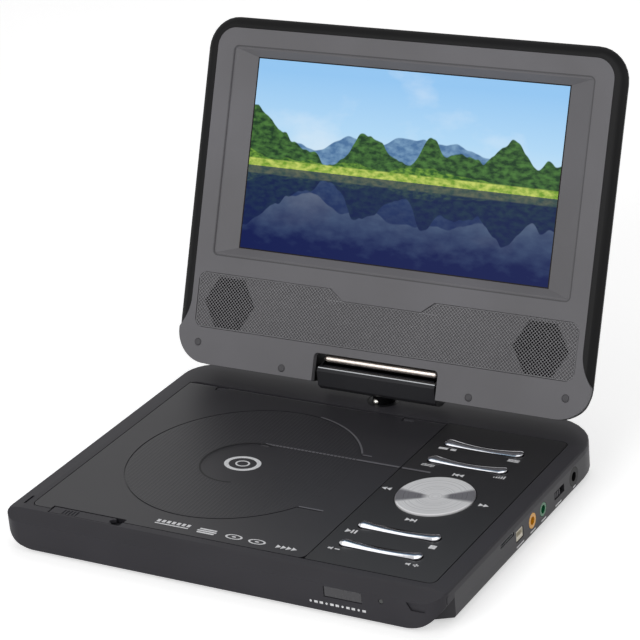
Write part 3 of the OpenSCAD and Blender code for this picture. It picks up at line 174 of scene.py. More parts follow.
# Aluminium turned on a lathe: the rings stretch the highlights into a bow tie, which a soft studio light
# would wash out, so its two dark wedges are painted shade. Rings of about 0.1 mm are drawn 0.5 mm apart to show.
def spunAluminium(name, tone, middle, wedge):
    mat, bsdf = newMaterial(name, Metallic=0.03, Anisotropic=0.6)
    where = addNode(mat, "TexCoord").outputs["Object"]
    out = addNode(mat, "VectorMath", {"operation": "SUBTRACT", 1: (middle.x, middle.y, 0)}, {0: where})
    flat = addNode(mat, "VectorMath", {"operation": "MULTIPLY", 1: (1, 1, 0)}, {0: out.outputs["Vector"]})
    around = addNode(mat, "VectorMath", {"operation": "CROSS_PRODUCT", 1: (0, 0, 1)}, {0: flat.outputs["Vector"]})
    along = addNode(mat, "VectorMath", {"operation": "NORMALIZE"}, {0: around.outputs["Vector"]})
    far = addNode(mat, "VectorMath", {"operation": "LENGTH"}, {0: flat.outputs["Vector"]})
    rings = addNode(mat, "TexNoise", {"noise_dimensions": "1D", "Scale": 1 / (0.5 * mm), "Detail": 2.0},
                    {"W": far.outputs["Value"]})
    tint = addNode(mat, "ValToRGB", links={"Fac": rings.outputs["Fac"]})
    setRamp(tint, [(0.25, hexColour("#cfcfd1")), (0.7, hexColour(tone))])
    # painted shade: the bow tie's two dark wedges, ragged at their edges and fading out towards the middle
    level = (math.cos(math.radians(wedge["angle"])), math.sin(math.radians(wedge["angle"])), 0)
    toward = addNode(mat, "VectorMath", {"operation": "NORMALIZE"}, {0: flat.outputs["Vector"]})
    lined = addNode(mat, "VectorMath", {"operation": "DOT_PRODUCT", 1: level}, {0: toward.outputs["Vector"]})
    close = addNode(mat, "Math", {"operation": "ABSOLUTE"}, {0: lined.outputs["Value"]})
    stray = addNode(mat, "Math", {"operation": "MULTIPLY_ADD", 1: 0.05, 2: -0.025}, {0: rings.outputs["Fac"]})
    ragged = addNode(mat, "Math", links={0: close.outputs[0], 1: stray.outputs[0]})
    dark = addNode(mat, "MapRange", {"From Min": wedge["soft"], "From Max": wedge["hard"]},
                   {"Value": ragged.outputs[0]})
    spread = addNode(mat, "MapRange", {"From Min": wedge["from"] * mm, "From Max": wedge["full"] * mm},
                     {"Value": far.outputs["Value"]})
    both = addNode(mat, "Math", {"operation": "MULTIPLY"}, {0: dark.outputs[0], 1: spread.outputs[0]})
    shade = addNode(mat, "Mix", {"data_type": "RGBA", 7: hexColour(wedge["tone"])},
                    {0: both.outputs[0], 6: tint.outputs["Color"]})
    sheen = addNode(mat, "MapRange", {"To Min": 0.22, "To Max": 0.38}, {"Value": rings.outputs["Fac"]})
    bump = addNode(mat, "Bump", {"Strength": 0.25, "Distance": 0.05 * mm}, {"Height": rings.outputs["Fac"]})
    mat.node_tree.links.new(shade.outputs[2], bsdf.inputs["Base Color"])
    mat.node_tree.links.new(sheen.outputs["Result"], bsdf.inputs["Roughness"])
    mat.node_tree.links.new(bump.outputs["Normal"], bsdf.inputs["Normal"])
    mat.node_tree.links.new(along.outputs["Vector"], bsdf.inputs["Tangent"])
    return mat


# Cold-rolled steel: fine lines along the rolling direction, a little uneven in tone
def rolledSteel(name, tone, shade):
    mat, bsdf = newMaterial(name, Metallic=1.0)
    where = addNode(mat, "TexCoord").outputs["Object"]
    stretch = addNode(mat, "Mapping", {"Scale": (1, 0.08, 1)}, {"Vector": where})
    lines = addNode(mat, "TexNoise", {"Scale": 1 / (0.3 * mm), "Detail": 4.0},
                    {"Vector": stretch.outputs["Vector"]})
    tint = addNode(mat, "ValToRGB", links={"Fac": lines.outputs["Fac"]})
    setRamp(tint, [(0.3, hexColour(shade)), (0.7, hexColour(tone))])
    sheen = addNode(mat, "MapRange", {"To Min": 0.22, "To Max": 0.42}, {"Value": lines.outputs["Fac"]})
    mat.node_tree.links.new(tint.outputs["Color"], bsdf.inputs["Base Color"])
    mat.node_tree.links.new(sheen.outputs["Result"], bsdf.inputs["Roughness"])
    return mat


# Moulded rubber: dull, with a powdery skin
def mouldedRubber(name, tone, shade):
    mat, bsdf = newMaterial(name, IOR=1.5)
    where = addNode(mat, "TexCoord").outputs["Object"]
    skin = addNode(mat, "TexNoise", {"Scale": 1 / (0.6 * mm), "Detail": 5.0}, {"Vector": where})
    tint = addNode(mat, "ValToRGB", links={"Fac": skin.outputs["Fac"]})
    setRamp(tint, [(0.3, hexColour(shade)), (0.75, hexColour(tone))])
    sheen = addNode(mat, "MapRange", {"To Min": 0.65, "To Max": 0.9}, {"Value": skin.outputs["Fac"]})
    bump = addNode(mat, "Bump", {"Strength": 0.3, "Distance": 0.05 * mm}, {"Height": skin.outputs["Fac"]})
    mat.node_tree.links.new(tint.outputs["Color"], bsdf.inputs["Base Color"])
    mat.node_tree.links.new(sheen.outputs["Result"], bsdf.inputs["Roughness"])
    mat.node_tree.links.new(bump.outputs["Normal"], bsdf.inputs["Normal"])
    return mat


# Circuit board: green solder resist over copper tracks that run square to each other
def circuitBoard(name):
    mat, bsdf = newMaterial(name, IOR=1.5, Roughness=0.35)
    where = addNode(mat, "TexCoord").outputs["Object"]
    tracks = addNode(mat, "TexBrick", {"Scale": 1 / (14 * mm), "Mortar Size": 0.03,
                                       "Color1": hexColour("#24553a"), "Color2": hexColour("#2f6a46"),
                                       "Mortar": hexColour("#6f8f4e")}, {"Vector": where})
    mat.node_tree.links.new(tracks.outputs["Color"], bsdf.inputs["Base Color"])
    return mat


# White ink printed on the plastic: thin, matt, with a slightly broken coat
def printedInk(name, tone):
    mat, bsdf = newMaterial(name, IOR=1.45, Roughness=0.6)
    where = addNode(mat, "TexCoord").outputs["Object"]
    coat = addNode(mat, "TexNoise", {"Scale": 1 / (0.4 * mm), "Detail": 3.0}, {"Vector": where})
    tint = addNode(mat, "ValToRGB", links={"Fac": coat.outputs["Fac"]})
    setRamp(tint, [(0.25, hexColour("#b9b9bb")), (0.55, hexColour(tone))])
    mat.node_tree.links.new(tint.outputs["Color"], bsdf.inputs["Base Color"])
    return mat


charcoalAbs = mouldedAbs("charcoal_abs", "#222125", "#1e1d21", rough=(0.4, 0.52), gloss=0.27)
rimAbs = mouldedAbs("rim_charcoal_abs", "#39383c", "#343337", rough=(0.42, 0.54), gloss=0.1)
sideAbs = mouldedAbs("side_grey_abs", "#2d2c30", "#28272b", gloss=0.3)
panelAbs = mouldedAbs("panel_black_abs", "#181719", "#151417", rough=(0.38, 0.5), gloss=0.28)
bezelAbs = mouldedAbs("bezel_grey_abs", "#6c6b6f", "#656467", rough=(0.52, 0.64), gloss=0.3)
# painted shade, darker than the bezel, for the shaded step round the picture's frame
frameShadeAbs = mouldedAbs("frame_shade_abs", "#504f52", "#4a494c", rough=(0.52, 0.64), gloss=0.3)
netAbs = mouldedAbs("net_grey_abs", "#9d9c9f", "#969598", rough=(0.52, 0.64), gloss=0.3)
grilleAbs = mouldedAbs("grille_grey_abs", "#5c5b5e", "#555457", rough=(0.52, 0.64), gloss=0.3)
hingeAbs = mouldedAbs("hinge_black_abs", "#2b2b2e", "#262629", gloss=0.2)
innerAbs = mouldedAbs("inner_black_abs", "#1c1c1e", "#161618", gloss=0.3)
switchAbs = mouldedAbs("switch_grey_abs", "#4d4c50", "#454448")
jackAbs = mouldedAbs("jack_black_abs", "#0e0e10", "#0a0a0b", gloss=0.2)
shellAbs = mouldedAbs("shell_black_abs", "#0c0c0e", "#09090a", rough=(0.4, 0.5), gloss=0.12)
speakerCloth = mouldedAbs("speaker_cloth", "#19191b", "#101012", grain=0.8, depth=0.1, rough=(0.8, 0.95), gloss=0.1)
creamPom = mouldedAbs("cream_acetal", "#e2dccb", "#d6cfbc", rough=(0.3, 0.4))
# painted highlight: the light grey of the lit edges of the lid's grooves and ridge
highlightAbs = mouldedAbs("painted_highlight_abs", "#66656a", "#5e5d61", rough=(0.3, 0.4))
# painted shade, near black, for the shaded rim of the lid's hub
shadeLineAbs = mouldedAbs("painted_shade_abs", "#151517", "#111113", rough=(0.5, 0.6), gloss=0.2)
greenAbs = polishedAbs("green_socket_abs", "#1f7a4d", "#1a6a43")
yellowAbs = polishedAbs("yellow_socket_abs", "#f0b020", "#e09a18")
windowAbs = polishedAbs("infrared_window", "#333236", "#2e2d31", rough=0.2)
darkLens = polishedAbs("pickup_lens", "#1b1216", "#140d10", rough=0.08)
lampLens = polishedAbs("lamp_lens", "#3b3d3c", "#333534", rough=0.2)
batteryWrap = polishedAbs("battery_wrap", "#2f4f86", "#274475")
chrome = chromePlate("chrome_plate", "#cfcfd3", "#bdbdc2")
# warm white chrome of the hinge rail, which carries a painted highlight
highlightChrome = chromePlate("warm_highlight_chrome", "#e4dad2", "#d8cdc5", rough=0.34)
# chrome darkened for the hinge barrel: painted shade for the dark reflection on its lower side
shadedChrome = chromePlate("chrome_with_painted_shade", "#1c1c1f", "#141416")
# the last argument sets the painted shade of the bow tie's dark wedges
aluminium = spunAluminium("spun_aluminium", "#f4f4f5", boxMid("nav_disc"),
                          {"angle": 18, "soft": 0.92, "hard": 0.97, "from": 2.5, "full": 6.0, "tone": "#717075"})
steel = rolledSteel("rolled_steel", "#bdbfc2", "#a4a6a9")
# steel darkened as painted shade, for the swivel post in the shade under the hinge block
shadedSteel = rolledSteel("steel_with_painted_shade", "#232325", "#1a1a1c")
# bright steel of the post stud, which carries a painted glint
glintSteel = rolledSteel("polished_steel_glint", "#e9e6df", "#d9d6cf")
brass = rolledSteel("brass", "#c9b070", "#b39a5c")
rubber = mouldedRubber("moulded_rubber", "#242425", "#191919")
greyRubber = mouldedRubber("grey_rubber", "#525154", "#474649")
board = circuitBoard("circuit_board")
ink = printedInk("white_ink", "#e8e8ea")
print("materials made")

# the picture on the display: a made-up valley with rolling hills, a meadow and a lake
picture = {"width": 154.2, "height": 87.0, "up": 93.2, "border": 0.5, "strength": 0.95,
           "shore": -0.12}                            # where the lake meets the meadow, -1 to 1


def displayPicture(name):
    mat, bsdf = newMaterial(name, Base_Color=hexColour("#06070a"), Roughness=0.25, IOR=1.5,
                            Specular_IOR_Level=0.05)
    back = Matrix.Rotation(lean, 4, "X")
    shift = -(back @ tiltMid) - Vector((0, 0, picture["up"] * mm))
    where = addNode(mat, "TexCoord").outputs["Object"]
    flat = addNode(mat, "Mapping", {"Rotation": (lean, 0, 0), "Location": shift}, {"Vector": where})
    parts = addNode(mat, "SeparateXYZ", links={0: flat.outputs["Vector"]})
    across = addNode(mat, "Math", {"operation": "MULTIPLY", 1: 2 / (picture["width"] * mm)},
                     {0: parts.outputs["X"]})
    rise = addNode(mat, "Math", {"operation": "MULTIPLY", 1: 2 / (picture["height"] * mm)}, {0: parts.outputs["Z"]})
    # below the shore the hills are seen upside down in the lake
    fold = addNode(mat, "Math", {"operation": "SUBTRACT", 1: picture["shore"]}, {0: rise.outputs[0]})
    height = addNode(mat, "Math", {"operation": "ABSOLUTE"}, {0: fold.outputs[0]})
    spot = addNode(mat, "CombineXYZ", links={"X": across.outputs[0], "Y": height.outputs[0]})
    sky = addNode(mat, "ValToRGB", links={"Fac": height.outputs[0]})
    setRamp(sky, [(0.0, hexColour("#d6ecf8")), (0.45, hexColour("#b4dcfa")), (1.0, hexColour("#97caf6"))])
    puffs = addNode(mat, "TexNoise", {"Scale": 1.6, "Detail": 6.0}, {"Vector": spot.outputs[0]})
    veil = addNode(mat, "MapRange", {"From Min": 0.52, "From Max": 0.78, "To Max": 0.6},
                   {"Value": puffs.outputs["Fac"]})
    colour = addNode(mat, "Mix", {"data_type": "RGBA", 7: hexColour("#f4f8fc")},
                     {0: veil.outputs[0], 6: sky.outputs["Color"]}).outputs[2]
    # from far to near: seed, hills across the picture, mean height, swing, dark and light colour
    hills = [(3.1, 1.4, 0.36, 0.42, "#4d74a0", "#7a9fc0"), (7.7, 2.3, 0.33, 0.6, "#1d3d22", "#4c7a3a"),
             (12.4, 1.7, 0.10, 0.26, "#2c5a24", "#7aa63e")]
    for seed, count, mean, swing, dark, light in hills:
        shifted = addNode(mat, "Math", {1: seed}, {0: across.outputs[0]})
        crest = addNode(mat, "TexNoise", {"noise_dimensions": "1D", "Scale": count, "Detail": 3.5,
                                          "Roughness": 0.42}, {"W": shifted.outputs[0]})
        line = addNode(mat, "MapRange", {"From Min": 0.25, "From Max": 0.75, "To Min": mean - swing / 2,
                                         "To Max": mean + swing / 2}, {"Value": crest.outputs["Fac"]})
        inside = addNode(mat, "Math", {"operation": "SUBTRACT"}, {0: line.outputs[0], 1: height.outputs[0]})
        mask = addNode(mat, "MapRange", {"From Min": -0.004, "From Max": 0.008}, {"Value": inside.outputs[0]})
        leaves = addNode(mat, "TexNoise", {"Scale": 14 + seed, "Detail": 6.0}, {"Vector": spot.outputs[0]})
        cover = addNode(mat, "ValToRGB", links={"Fac": leaves.outputs["Fac"]})
        setRamp(cover, [(0.38, hexColour(dark)), (0.66, hexColour(light))])
        colour = addNode(mat, "Mix", {"data_type": "RGBA"},
                         {0: mask.outputs[0], 6: colour, 7: cover.outputs["Color"]}).outputs[2]
    grass = addNode(mat, "MapRange", {"From Min": 0.085, "From Max": 0.07}, {"Value": height.outputs[0]})
    blades = addNode(mat, "TexNoise", {"Scale": 22, "Detail": 4.0}, {"Vector": spot.outputs[0]})
    meadow = addNode(mat, "ValToRGB", links={"Fac": blades.outputs["Fac"]})
    setRamp(meadow, [(0.35, hexColour("#6f9a2e")), (0.65, hexColour("#c9d66a"))])
    colour = addNode(mat, "Mix", {"data_type": "RGBA"},
                     {0: grass.outputs[0], 6: colour, 7: meadow.outputs["Color"]}).outputs[2]
    # the lake is darker and bluer than what it mirrors, more so towards the viewer
    ripples = addNode(mat, "TexNoise", {"Scale": 9, "Detail": 3.0}, {"Vector": spot.outputs[0]})
    depth = addNode(mat, "MapRange", {"From Min": 0.0, "From Max": 0.85, "To Min": 0.8, "To Max": 1.02},
                    {"Value": height.outputs[0]})
    wet = addNode(mat, "Math", {"operation": "MULTIPLY_ADD", 1: 0.14, 2: -0.07}, {0: ripples.outputs["Fac"]})
    blue = addNode(mat, "Math", {"use_clamp": True}, {0: depth.outputs[0], 1: wet.outputs[0]})
    mirror = addNode(mat, "Mix", {"data_type": "RGBA", 7: hexColour("#07174f")}, {0: blue.outputs[0], 6: colour})
    below = addNode(mat, "Math", {"operation": "LESS_THAN", 1: 0.0}, {0: fold.outputs[0]})
    view = addNode(mat, "Mix", {"data_type": "RGBA"}, {0: below.outputs[0], 6: colour, 7: mirror.outputs[2]})
    # dark line where the picture stops short of the bezel
    edges = []
    for place, size in ((across, picture["width"]), (rise, picture["height"])):
        off = addNode(mat, "Math", {"operation": "ABSOLUTE"}, {0: place.outputs[0]})
        edges.append(addNode(mat, "Math", {"operation": "LESS_THAN", 1: 1 - 2 * picture["border"] / size},
                             {0: off.outputs[0]}))
    lit = addNode(mat, "Math", {"operation": "MULTIPLY"}, {0: edges[0].outputs[0], 1: edges[1].outputs[0]})
    shown = addNode(mat, "Mix", {"data_type": "RGBA", 6: hexColour("#1a1512")},
                    {0: lit.outputs[0], 7: view.outputs[2]})
    mat.node_tree.links.new(shown.outputs[2], bsdf.inputs["Emission Color"])
    bsdf.inputs["Emission Strength"].default_value = picture["strength"]
    return mat


display = displayPicture("display_glass")
print("display picture made")

# CAD nodes: finish, and the width in mm of the edge that the mould leaves
dressing = [
    (charcoalAbs, 0.5, ["disc_lid"]),
    (rimAbs, 0.45, ["top_case", "open_latch"]),
    (sideAbs, 0.3, ["bottom_case"]),
    (panelAbs, 0.35, ["control_panel"]),
    (innerAbs, 0, ["disc_deck", "optical_pickup", "speaker_left", "speaker_right"]),
    (switchAbs, 0.2, ["power_switch"]),
    (jackAbs, 0.2, ["dc_jack", "swivel_bush"]),
    (board, 0, ["main_board", "key_board", "screen_board"]),
    (batteryWrap, 0.3, ["battery_pack"]),
    (greenAbs, 0.2, ["headphone_jack"]),
    (yellowAbs, 0.2, ["av_jack"]),
    (creamPom, 0.1, ["usb_port"]),
    (creamPom, 0, ["spindle_hub", "drive_gear"]),
    (windowAbs, 0.2, ["ir_window"]),
    (darkLens, 0.2, ["pickup_lens"]),
    (lampLens, 0.1, ["status_led"]),
    (rubber, 0.2, ["rubber_feet"]),
    (greyRubber, 0.3, ["screen_bumpers"]),
    (rubber, 0, ["drive_dampers"]),
    (steel, 0, ["card_slot", "case_screws", "drive_chassis", "spindle_motor", "sled_motor", "guide_rods",
                "lid_hinge_pins", "nav_pivot", "post_clip", "screen_screws", "tilt_shaft", "tilt_brackets",
                "lcd_backlight"]),
    # the swivel post's steel is darkened as painted shade
    (shadedSteel, 0, ["swivel_post"]),
    (brass, 0, ["motor_pinion"]),
    (chrome, 0.35, ["menu_rocker", "search_rocker", "play_rocker", "volume_rocker"]),
    # the hinge barrel's chrome is darkened as painted shade
    (shadedChrome, 0.3, ["hinge_barrel"]),
    (aluminium, 0.2, ["nav_disc"]),
    (hingeAbs, 0.5, ["turret_block"]),
    (shellAbs, 0.4, ["screen_back"]),
    (bezelAbs, 0.35, ["screen_bezel"]),
    (grilleAbs, 0, ["speaker_grille"]),
    (display, 0, ["lcd_panel"]),
]

# such an edge: what is welded first in mm, and angles in degrees; the bezel has shallow edges too
mouldEdge = {"weld": 0.002, "flat": 0.5, "segments": 3, "angle": 38, "bezelAngle": 13}


def softenEdges(obj, width, angle):
    weld = obj.modifiers.new("weld", "WELD")
    weld.merge_threshold = mouldEdge["weld"] * mm
    flat = obj.modifiers.new("flat", "DECIMATE")
    flat.decimate_type = "DISSOLVE"
    flat.angle_limit = math.radians(mouldEdge["flat"])
    edge = obj.modifiers.new("edge", "BEVEL")
    edge.width = width * mm
    edge.segments = mouldEdge["segments"]
    edge.limit_method = "ANGLE"
    edge.angle_limit = math.radians(angle)
    even = obj.modifiers.new("even", "WEIGHTED_NORMAL")
    even.weight = 100


for finish, width, names in dressing:
    for name in names:
        obj = nodes[name]
        obj.data.materials.clear()
        obj.data.materials.append(finish)
        if width:
            obj.data.shade_smooth()
            softenEdges(obj, width, mouldEdge["bezelAngle" if name == "screen_bezel" else "angle"])
print("CAD nodes dressed")


def addPiece(name, bm, finish, body, smooth=0):
    bmesh.ops.recalc_face_normals(bm, faces=bm.faces)
    mesh = bpy.data.meshes.new(name)
    bm.to_mesh(mesh)
    bm.free()
    mesh.materials.append(finish)
    if smooth:
        mesh.shade_smooth()
        mesh.set_sharp_from_angle(angle=math.radians(smooth))
    obj = bpy.data.objects.new(name, mesh)
    bpy.context.scene.collection.objects.link(obj)
    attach(obj, body)


# draws one flat shape in mm: bar, arrow to the right, dot, ring, or hexagon with a flat top
def stamp(bm, shape, x, y, w, h, turn=0):
    turned = Matrix.Rotation(math.radians(turn), 4, "Z")
    place = Matrix.Translation((x, y, 0)) @ turned @ Matrix.Diagonal((w, h, 1, 1))
    if shape == "bar":
        bmesh.ops.create_grid(bm, x_segments=1, y_segments=1, size=0.5, matrix=place)
    elif shape == "dot":
        bmesh.ops.create_circle(bm, cap_ends=True, segments=32, radius=0.5, matrix=place)
    elif shape == "arrow":
        fitted = place @ Matrix.Diagonal((1 / 1.5, 1 / 1.732, 1, 1)) @ Matrix.Rotation(math.radians(-90), 4, "Z")
        bmesh.ops.create_circle(bm, cap_ends=True, segments=3, radius=1, matrix=fitted)
    elif shape == "hexagon":
        bmesh.ops.create_circle(bm, cap_ends=True, segments=6, radius=0.5,
                                matrix=place @ Matrix.Rotation(math.radians(30), 4, "Z"))
    elif shape == "ring":
        loops = [bmesh.ops.create_circle(bm, segments=40, radius=r, matrix=place)["verts"] for r in (0.5, 0.38)]
        edges = list({e for loop in loops for v in loop for e in v.link_edges})
        bmesh.ops.bridge_loops(bm, edges=edges)


# draws a level line in mm
def drawBar(bm, x0, x1, y, width):
    stamp(bm, "bar", (x0 + x1) / 2, y, x1 - x0, width)


# draws an arc of even width in mm, from one angle to another in degrees
def drawArc(bm, x, y, radius, width, start, end):
    toward = Vector((math.cos(math.radians(start)), math.sin(math.radians(start)), 0))
    middle = Vector((x, y, 0))
    verts = [bm.verts.new(middle + toward * (radius + side * width / 2)) for side in (1, -1)]
    bmesh.ops.spin(bm, geom=verts + [bm.edges.new(verts)], axis=(0, 0, 1), cent=middle,
                   angle=math.radians(end - start), steps=max(4, int((end - start) / 3)))


# gives a drawing its thickness and puts it on its surface
def printOn(bm, place, thick):
    bm.normal_update()
    bmesh.ops.reverse_faces(bm, faces=[f for f in bm.faces if f.normal.z > 0])
    bmesh.ops.solidify(bm, geom=bm.faces[:], thickness=thick)
    bmesh.ops.transform(bm, matrix=place @ toMetres, verts=bm.verts)


# symbols beside the keys: the node they belong to, offset in mm, and what is drawn there
keyMarks = {
    "thick": 0.06,
    "marks": [
        ("menu_rocker", -14.2, -4.9, [("bar", -2.6, 0, 4.2, 1.5, 0), ("bar", 2.2, 0, 2.6, 1.5, 0)]),
        ("menu_rocker", 16.5, -5.6, [("bar", 0, k, 5.2, 0.45, 0) for k in (-0.8, 0, 0.8)]),
        ("search_rocker", -15.9, -5.2, [("bar", 0, 0.5, 6, 0.4, 0), ("bar", 0, -0.6, 6, 0.4, 0),
                                        ("dot", -1.4, 0.5, 1.1, 1.1, 0), ("dot", 1.6, -0.6, 1.1, 1.1, 0)]),
        ("search_rocker", 16.2, -5.2, [("bar", k * 1.1, (k - 2) * 0.2, 0.6, 1.2 + 0.4 * k, 0)
                                       for k in range(-1, 4)]),
        ("nav_disc", 0, 20.7, [("arrow", -0.2, 0, 2.2, 2.4, 180), ("arrow", 2.0, 0, 2.2, 2.4, 180),
                               ("bar", -1.8, 0, 0.6, 2.4, 0)]),
        ("nav_disc", 0, -21.3, [("arrow", -2.0, 0, 2.2, 2.4, 0), ("arrow", 0.2, 0, 2.2, 2.4, 0),
                                ("bar", 1.8, 0, 0.6, 2.4, 0)]),
        ("nav_disc", -22.3, 0, [("arrow", -1.1, 0, 2.2, 2.4, 180), ("arrow", 1.1, 0, 2.2, 2.4, 180)]),
        ("nav_disc", 21.7, 0, [("arrow", -1.1, 0, 2.2, 2.4, 0), ("arrow", 1.1, 0, 2.2, 2.4, 0)]),
        ("play_rocker", -19.1, -6.1, [("arrow", -1.2, 0, 2.4, 2.8, 0), ("bar", 1.0, 0, 0.8, 2.8, 0),
                                      ("bar", 2.5, 0, 0.8, 2.8, 0)]),
        ("play_rocker", 18.2, -6.6, [("bar", 0, 0, 2.9, 2.7, 0)]),
        ("volume_rocker", -18.3, -5.3, [("bar", 1.4, 0, 2.2, 0.6, 0), ("bar", -2.2, 0, 1.0, 1.1, 0),
                                        ("arrow", -1.2, 0, 1.4, 2.2, 180)]),
        ("volume_rocker", 16.8, -6.1, [("bar", 1.8, 0, 2.4, 0.6, 0), ("bar", 1.8, 0, 0.6, 2.2, 0),
                                       ("bar", -2.2, 0, 1.0, 1.1, 0), ("arrow", -1.2, 0, 1.4, 2.2, 180)]),
    ],
}
bm = bmesh.new()
for key, dx, dy, shapes in keyMarks["marks"]:
    middle = boxMid(key) / mm
    for shape, x, y, w, h, turn in shapes:
        stamp(bm, shape, middle.x + dx + x, middle.y + dy + y, w, h, turn)
printOn(bm, Matrix.Translation((0, 0, topZ)), keyMarks["thick"])
addPiece("key_marks", bm, ink, "base")
print("key marks printed")

# plain marks in a row along the lid's front edge: place in mm, and what is drawn there
lidMarks = {
    "thick": 0.05,
    "marks": [
        (-27.5, -88.965, [("bar", 2.4 * k - 7.2, 0.8, 1.5, 2.0) for k in range(7)] + [("bar", 0, -1.3, 16, 0.6)]),
        (-10.8, -89.565, [("bar", 0, 1.4 * k, 9 - abs(k), 0.9) for k in (-1, 0, 1)]),
        (2.1, -89.665, [("ring", 0, 0, 8, 3.6), ("dot", 0, 0, 2, 0.9)]),
        (13.1, -89.965, [("ring", 0, 0, 8, 3.6), ("dot", 0, 0, 2, 0.9)]),
        (26.7, -90.265, [("arrow", 2.4 * k - 3.6, 0, 2.2, 2.6) for k in range(4)]),
    ],
}
bm = bmesh.new()
for x, y, shapes in lidMarks["marks"]:
    for shape, dx, dy, w, h in shapes:
        stamp(bm, shape, x + dx, y + dy, w, h)
printOn(bm, Matrix.Translation((0, 0, topZ)), lidMarks["thick"])
addPiece("lid_marks", bm, ink, "lid")

# two rings printed in the dish of the lid's hub, the inner one a share of the outer one
hubMark = {"width": 17, "depth": 13, "inner": 0.4, "thick": 0.05, "sunk": 0.6}
middleX, middleY = discMid.x / mm, discMid.y / mm
bm = bmesh.new()
for share in (1, hubMark["inner"]):
    stamp(bm, "ring", middleX, middleY, hubMark["width"] * share, hubMark["depth"] * share)
printOn(bm, Matrix.Translation((0, 0, topZ - hubMark["sunk"] * mm)), hubMark["thick"])
addPiece("hub_mark", bm, ink, "lid")
print("lid marks printed")

# fine ribs on the lid inside the ring, front to back; the crest is a share of the rib's width
lidRibs = {"pitch": 1.8, "width": 0.8, "crest": 0.4, "high": 0.04, "outer": 49.6, "inner": 19.4, "shortest": 2}
bm = bmesh.new()
count = int(lidRibs["outer"] / lidRibs["pitch"])
for k in range(-count, count + 1):
    x = k * lidRibs["pitch"]
    far = math.sqrt(lidRibs["outer"] ** 2 - x * x)
    near = math.sqrt(max(lidRibs["inner"] ** 2 - x * x, 0))
    for y0, y1 in [(-far, -near), (near, far)] if near else [(-far, far)]:
        if y1 - y0 < lidRibs["shortest"]:
            continue
        place = Matrix.Translation((x, (y0 + y1) / 2, lidRibs["high"] / 2))
        size = Matrix.Diagonal((lidRibs["width"], y1 - y0, lidRibs["high"], 1))
        made = bmesh.ops.create_cube(bm, size=1, matrix=place @ size)
        top = [v for v in made["verts"] if v.co.z > lidRibs["high"] / 2]
        bmesh.ops.scale(bm, vec=(lidRibs["crest"], 1, 1), space=Matrix.Translation((-x, 0, 0)), verts=top)
place = Matrix.Translation((discMid.x, discMid.y, topZ))
bmesh.ops.transform(bm, matrix=place @ toMetres, verts=bm.verts)
addPiece("lid_ribs", bm, charcoalAbs, "lid")
print("lid ribs made")

# light that catches the edges of the lid's grooves, in mm from the disc's middle; a tail is the angle where it
# leaves the ring and how far it runs
lidGlints = {"width": 0.8, "ridge": 1.2, "thick": 0.03, "ring": 50.7, "hub": 18.2, "off": 0.7, "arc": (29, 78),
             "tails": [(27, 5), (-33, 12)], "tailGap": 0.6, "start": 0.5, "end": 0.4}
ridgeY = middleY + lidGlints["hub"] + lidGlints["off"]
bm = bmesh.new()
drawArc(bm, middleX, middleY, lidGlints["ring"] + lidGlints["off"], lidGlints["width"], *lidGlints["arc"])
for angle, run in lidGlints["tails"]:
    x = middleX + lidGlints["ring"] * math.cos(math.radians(angle))
    y = middleY + lidGlints["ring"] * math.sin(math.radians(angle)) + lidGlints["off"]
    drawBar(bm, x + lidGlints["tailGap"], x + run, y, lidGlints["width"])
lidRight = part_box("disc_lid")[1].x / mm
drawBar(bm, middleX + lidGlints["start"], lidRight - lidGlints["end"], ridgeY, lidGlints["ridge"])
printOn(bm, Matrix.Translation((0, 0, topZ)), lidGlints["thick"])
addPiece("lid_glints", bm, highlightAbs, "lid")

# the ridge's light goes on over the panel and ends behind the navigation disc, at a share of its radius
panelGlint = {"start": 0.4, "share": 0.7}
low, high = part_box("nav_disc")
glintEnd = (low.x + high.x) / 2 - panelGlint["share"] * (high.x - low.x) / 2
bm = bmesh.new()
drawBar(bm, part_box("control_panel")[0].x / mm + panelGlint["start"], glintEnd / mm, ridgeY, lidGlints["ridge"])
printOn(bm, Matrix.Translation((0, 0, topZ)), lidGlints["thick"])
addPiece("panel_glint", bm, highlightAbs, "base")

# painted shade round the left of the lid's hub, where the rim of its dish falls in shade
hubShadeLine = {"round": 18.4, "width": 0.8, "thick": 0.03, "arc": (75, 285)}
bm = bmesh.new()
drawArc(bm, middleX, middleY, hubShadeLine["round"], hubShadeLine["width"], *hubShadeLine["arc"])
printOn(bm, Matrix.Translation((0, 0, topZ)), hubShadeLine["thick"])
addPiece("hub_shade_line", bm, shadeLineAbs, "lid")
print("lid lines drawn")

# crowned caps of the rocker keys, in mm: waisted in the middle and dished along their length
rockerCap = {"wide": 5.4, "corner": 2.5, "waist": 0.9, "waistBow": 262, "dish": 0.9, "dishBow": 300, "crown": 0.48,
             "lift": 0.02, "sink": 0.3, "along": 56, "across": 12}


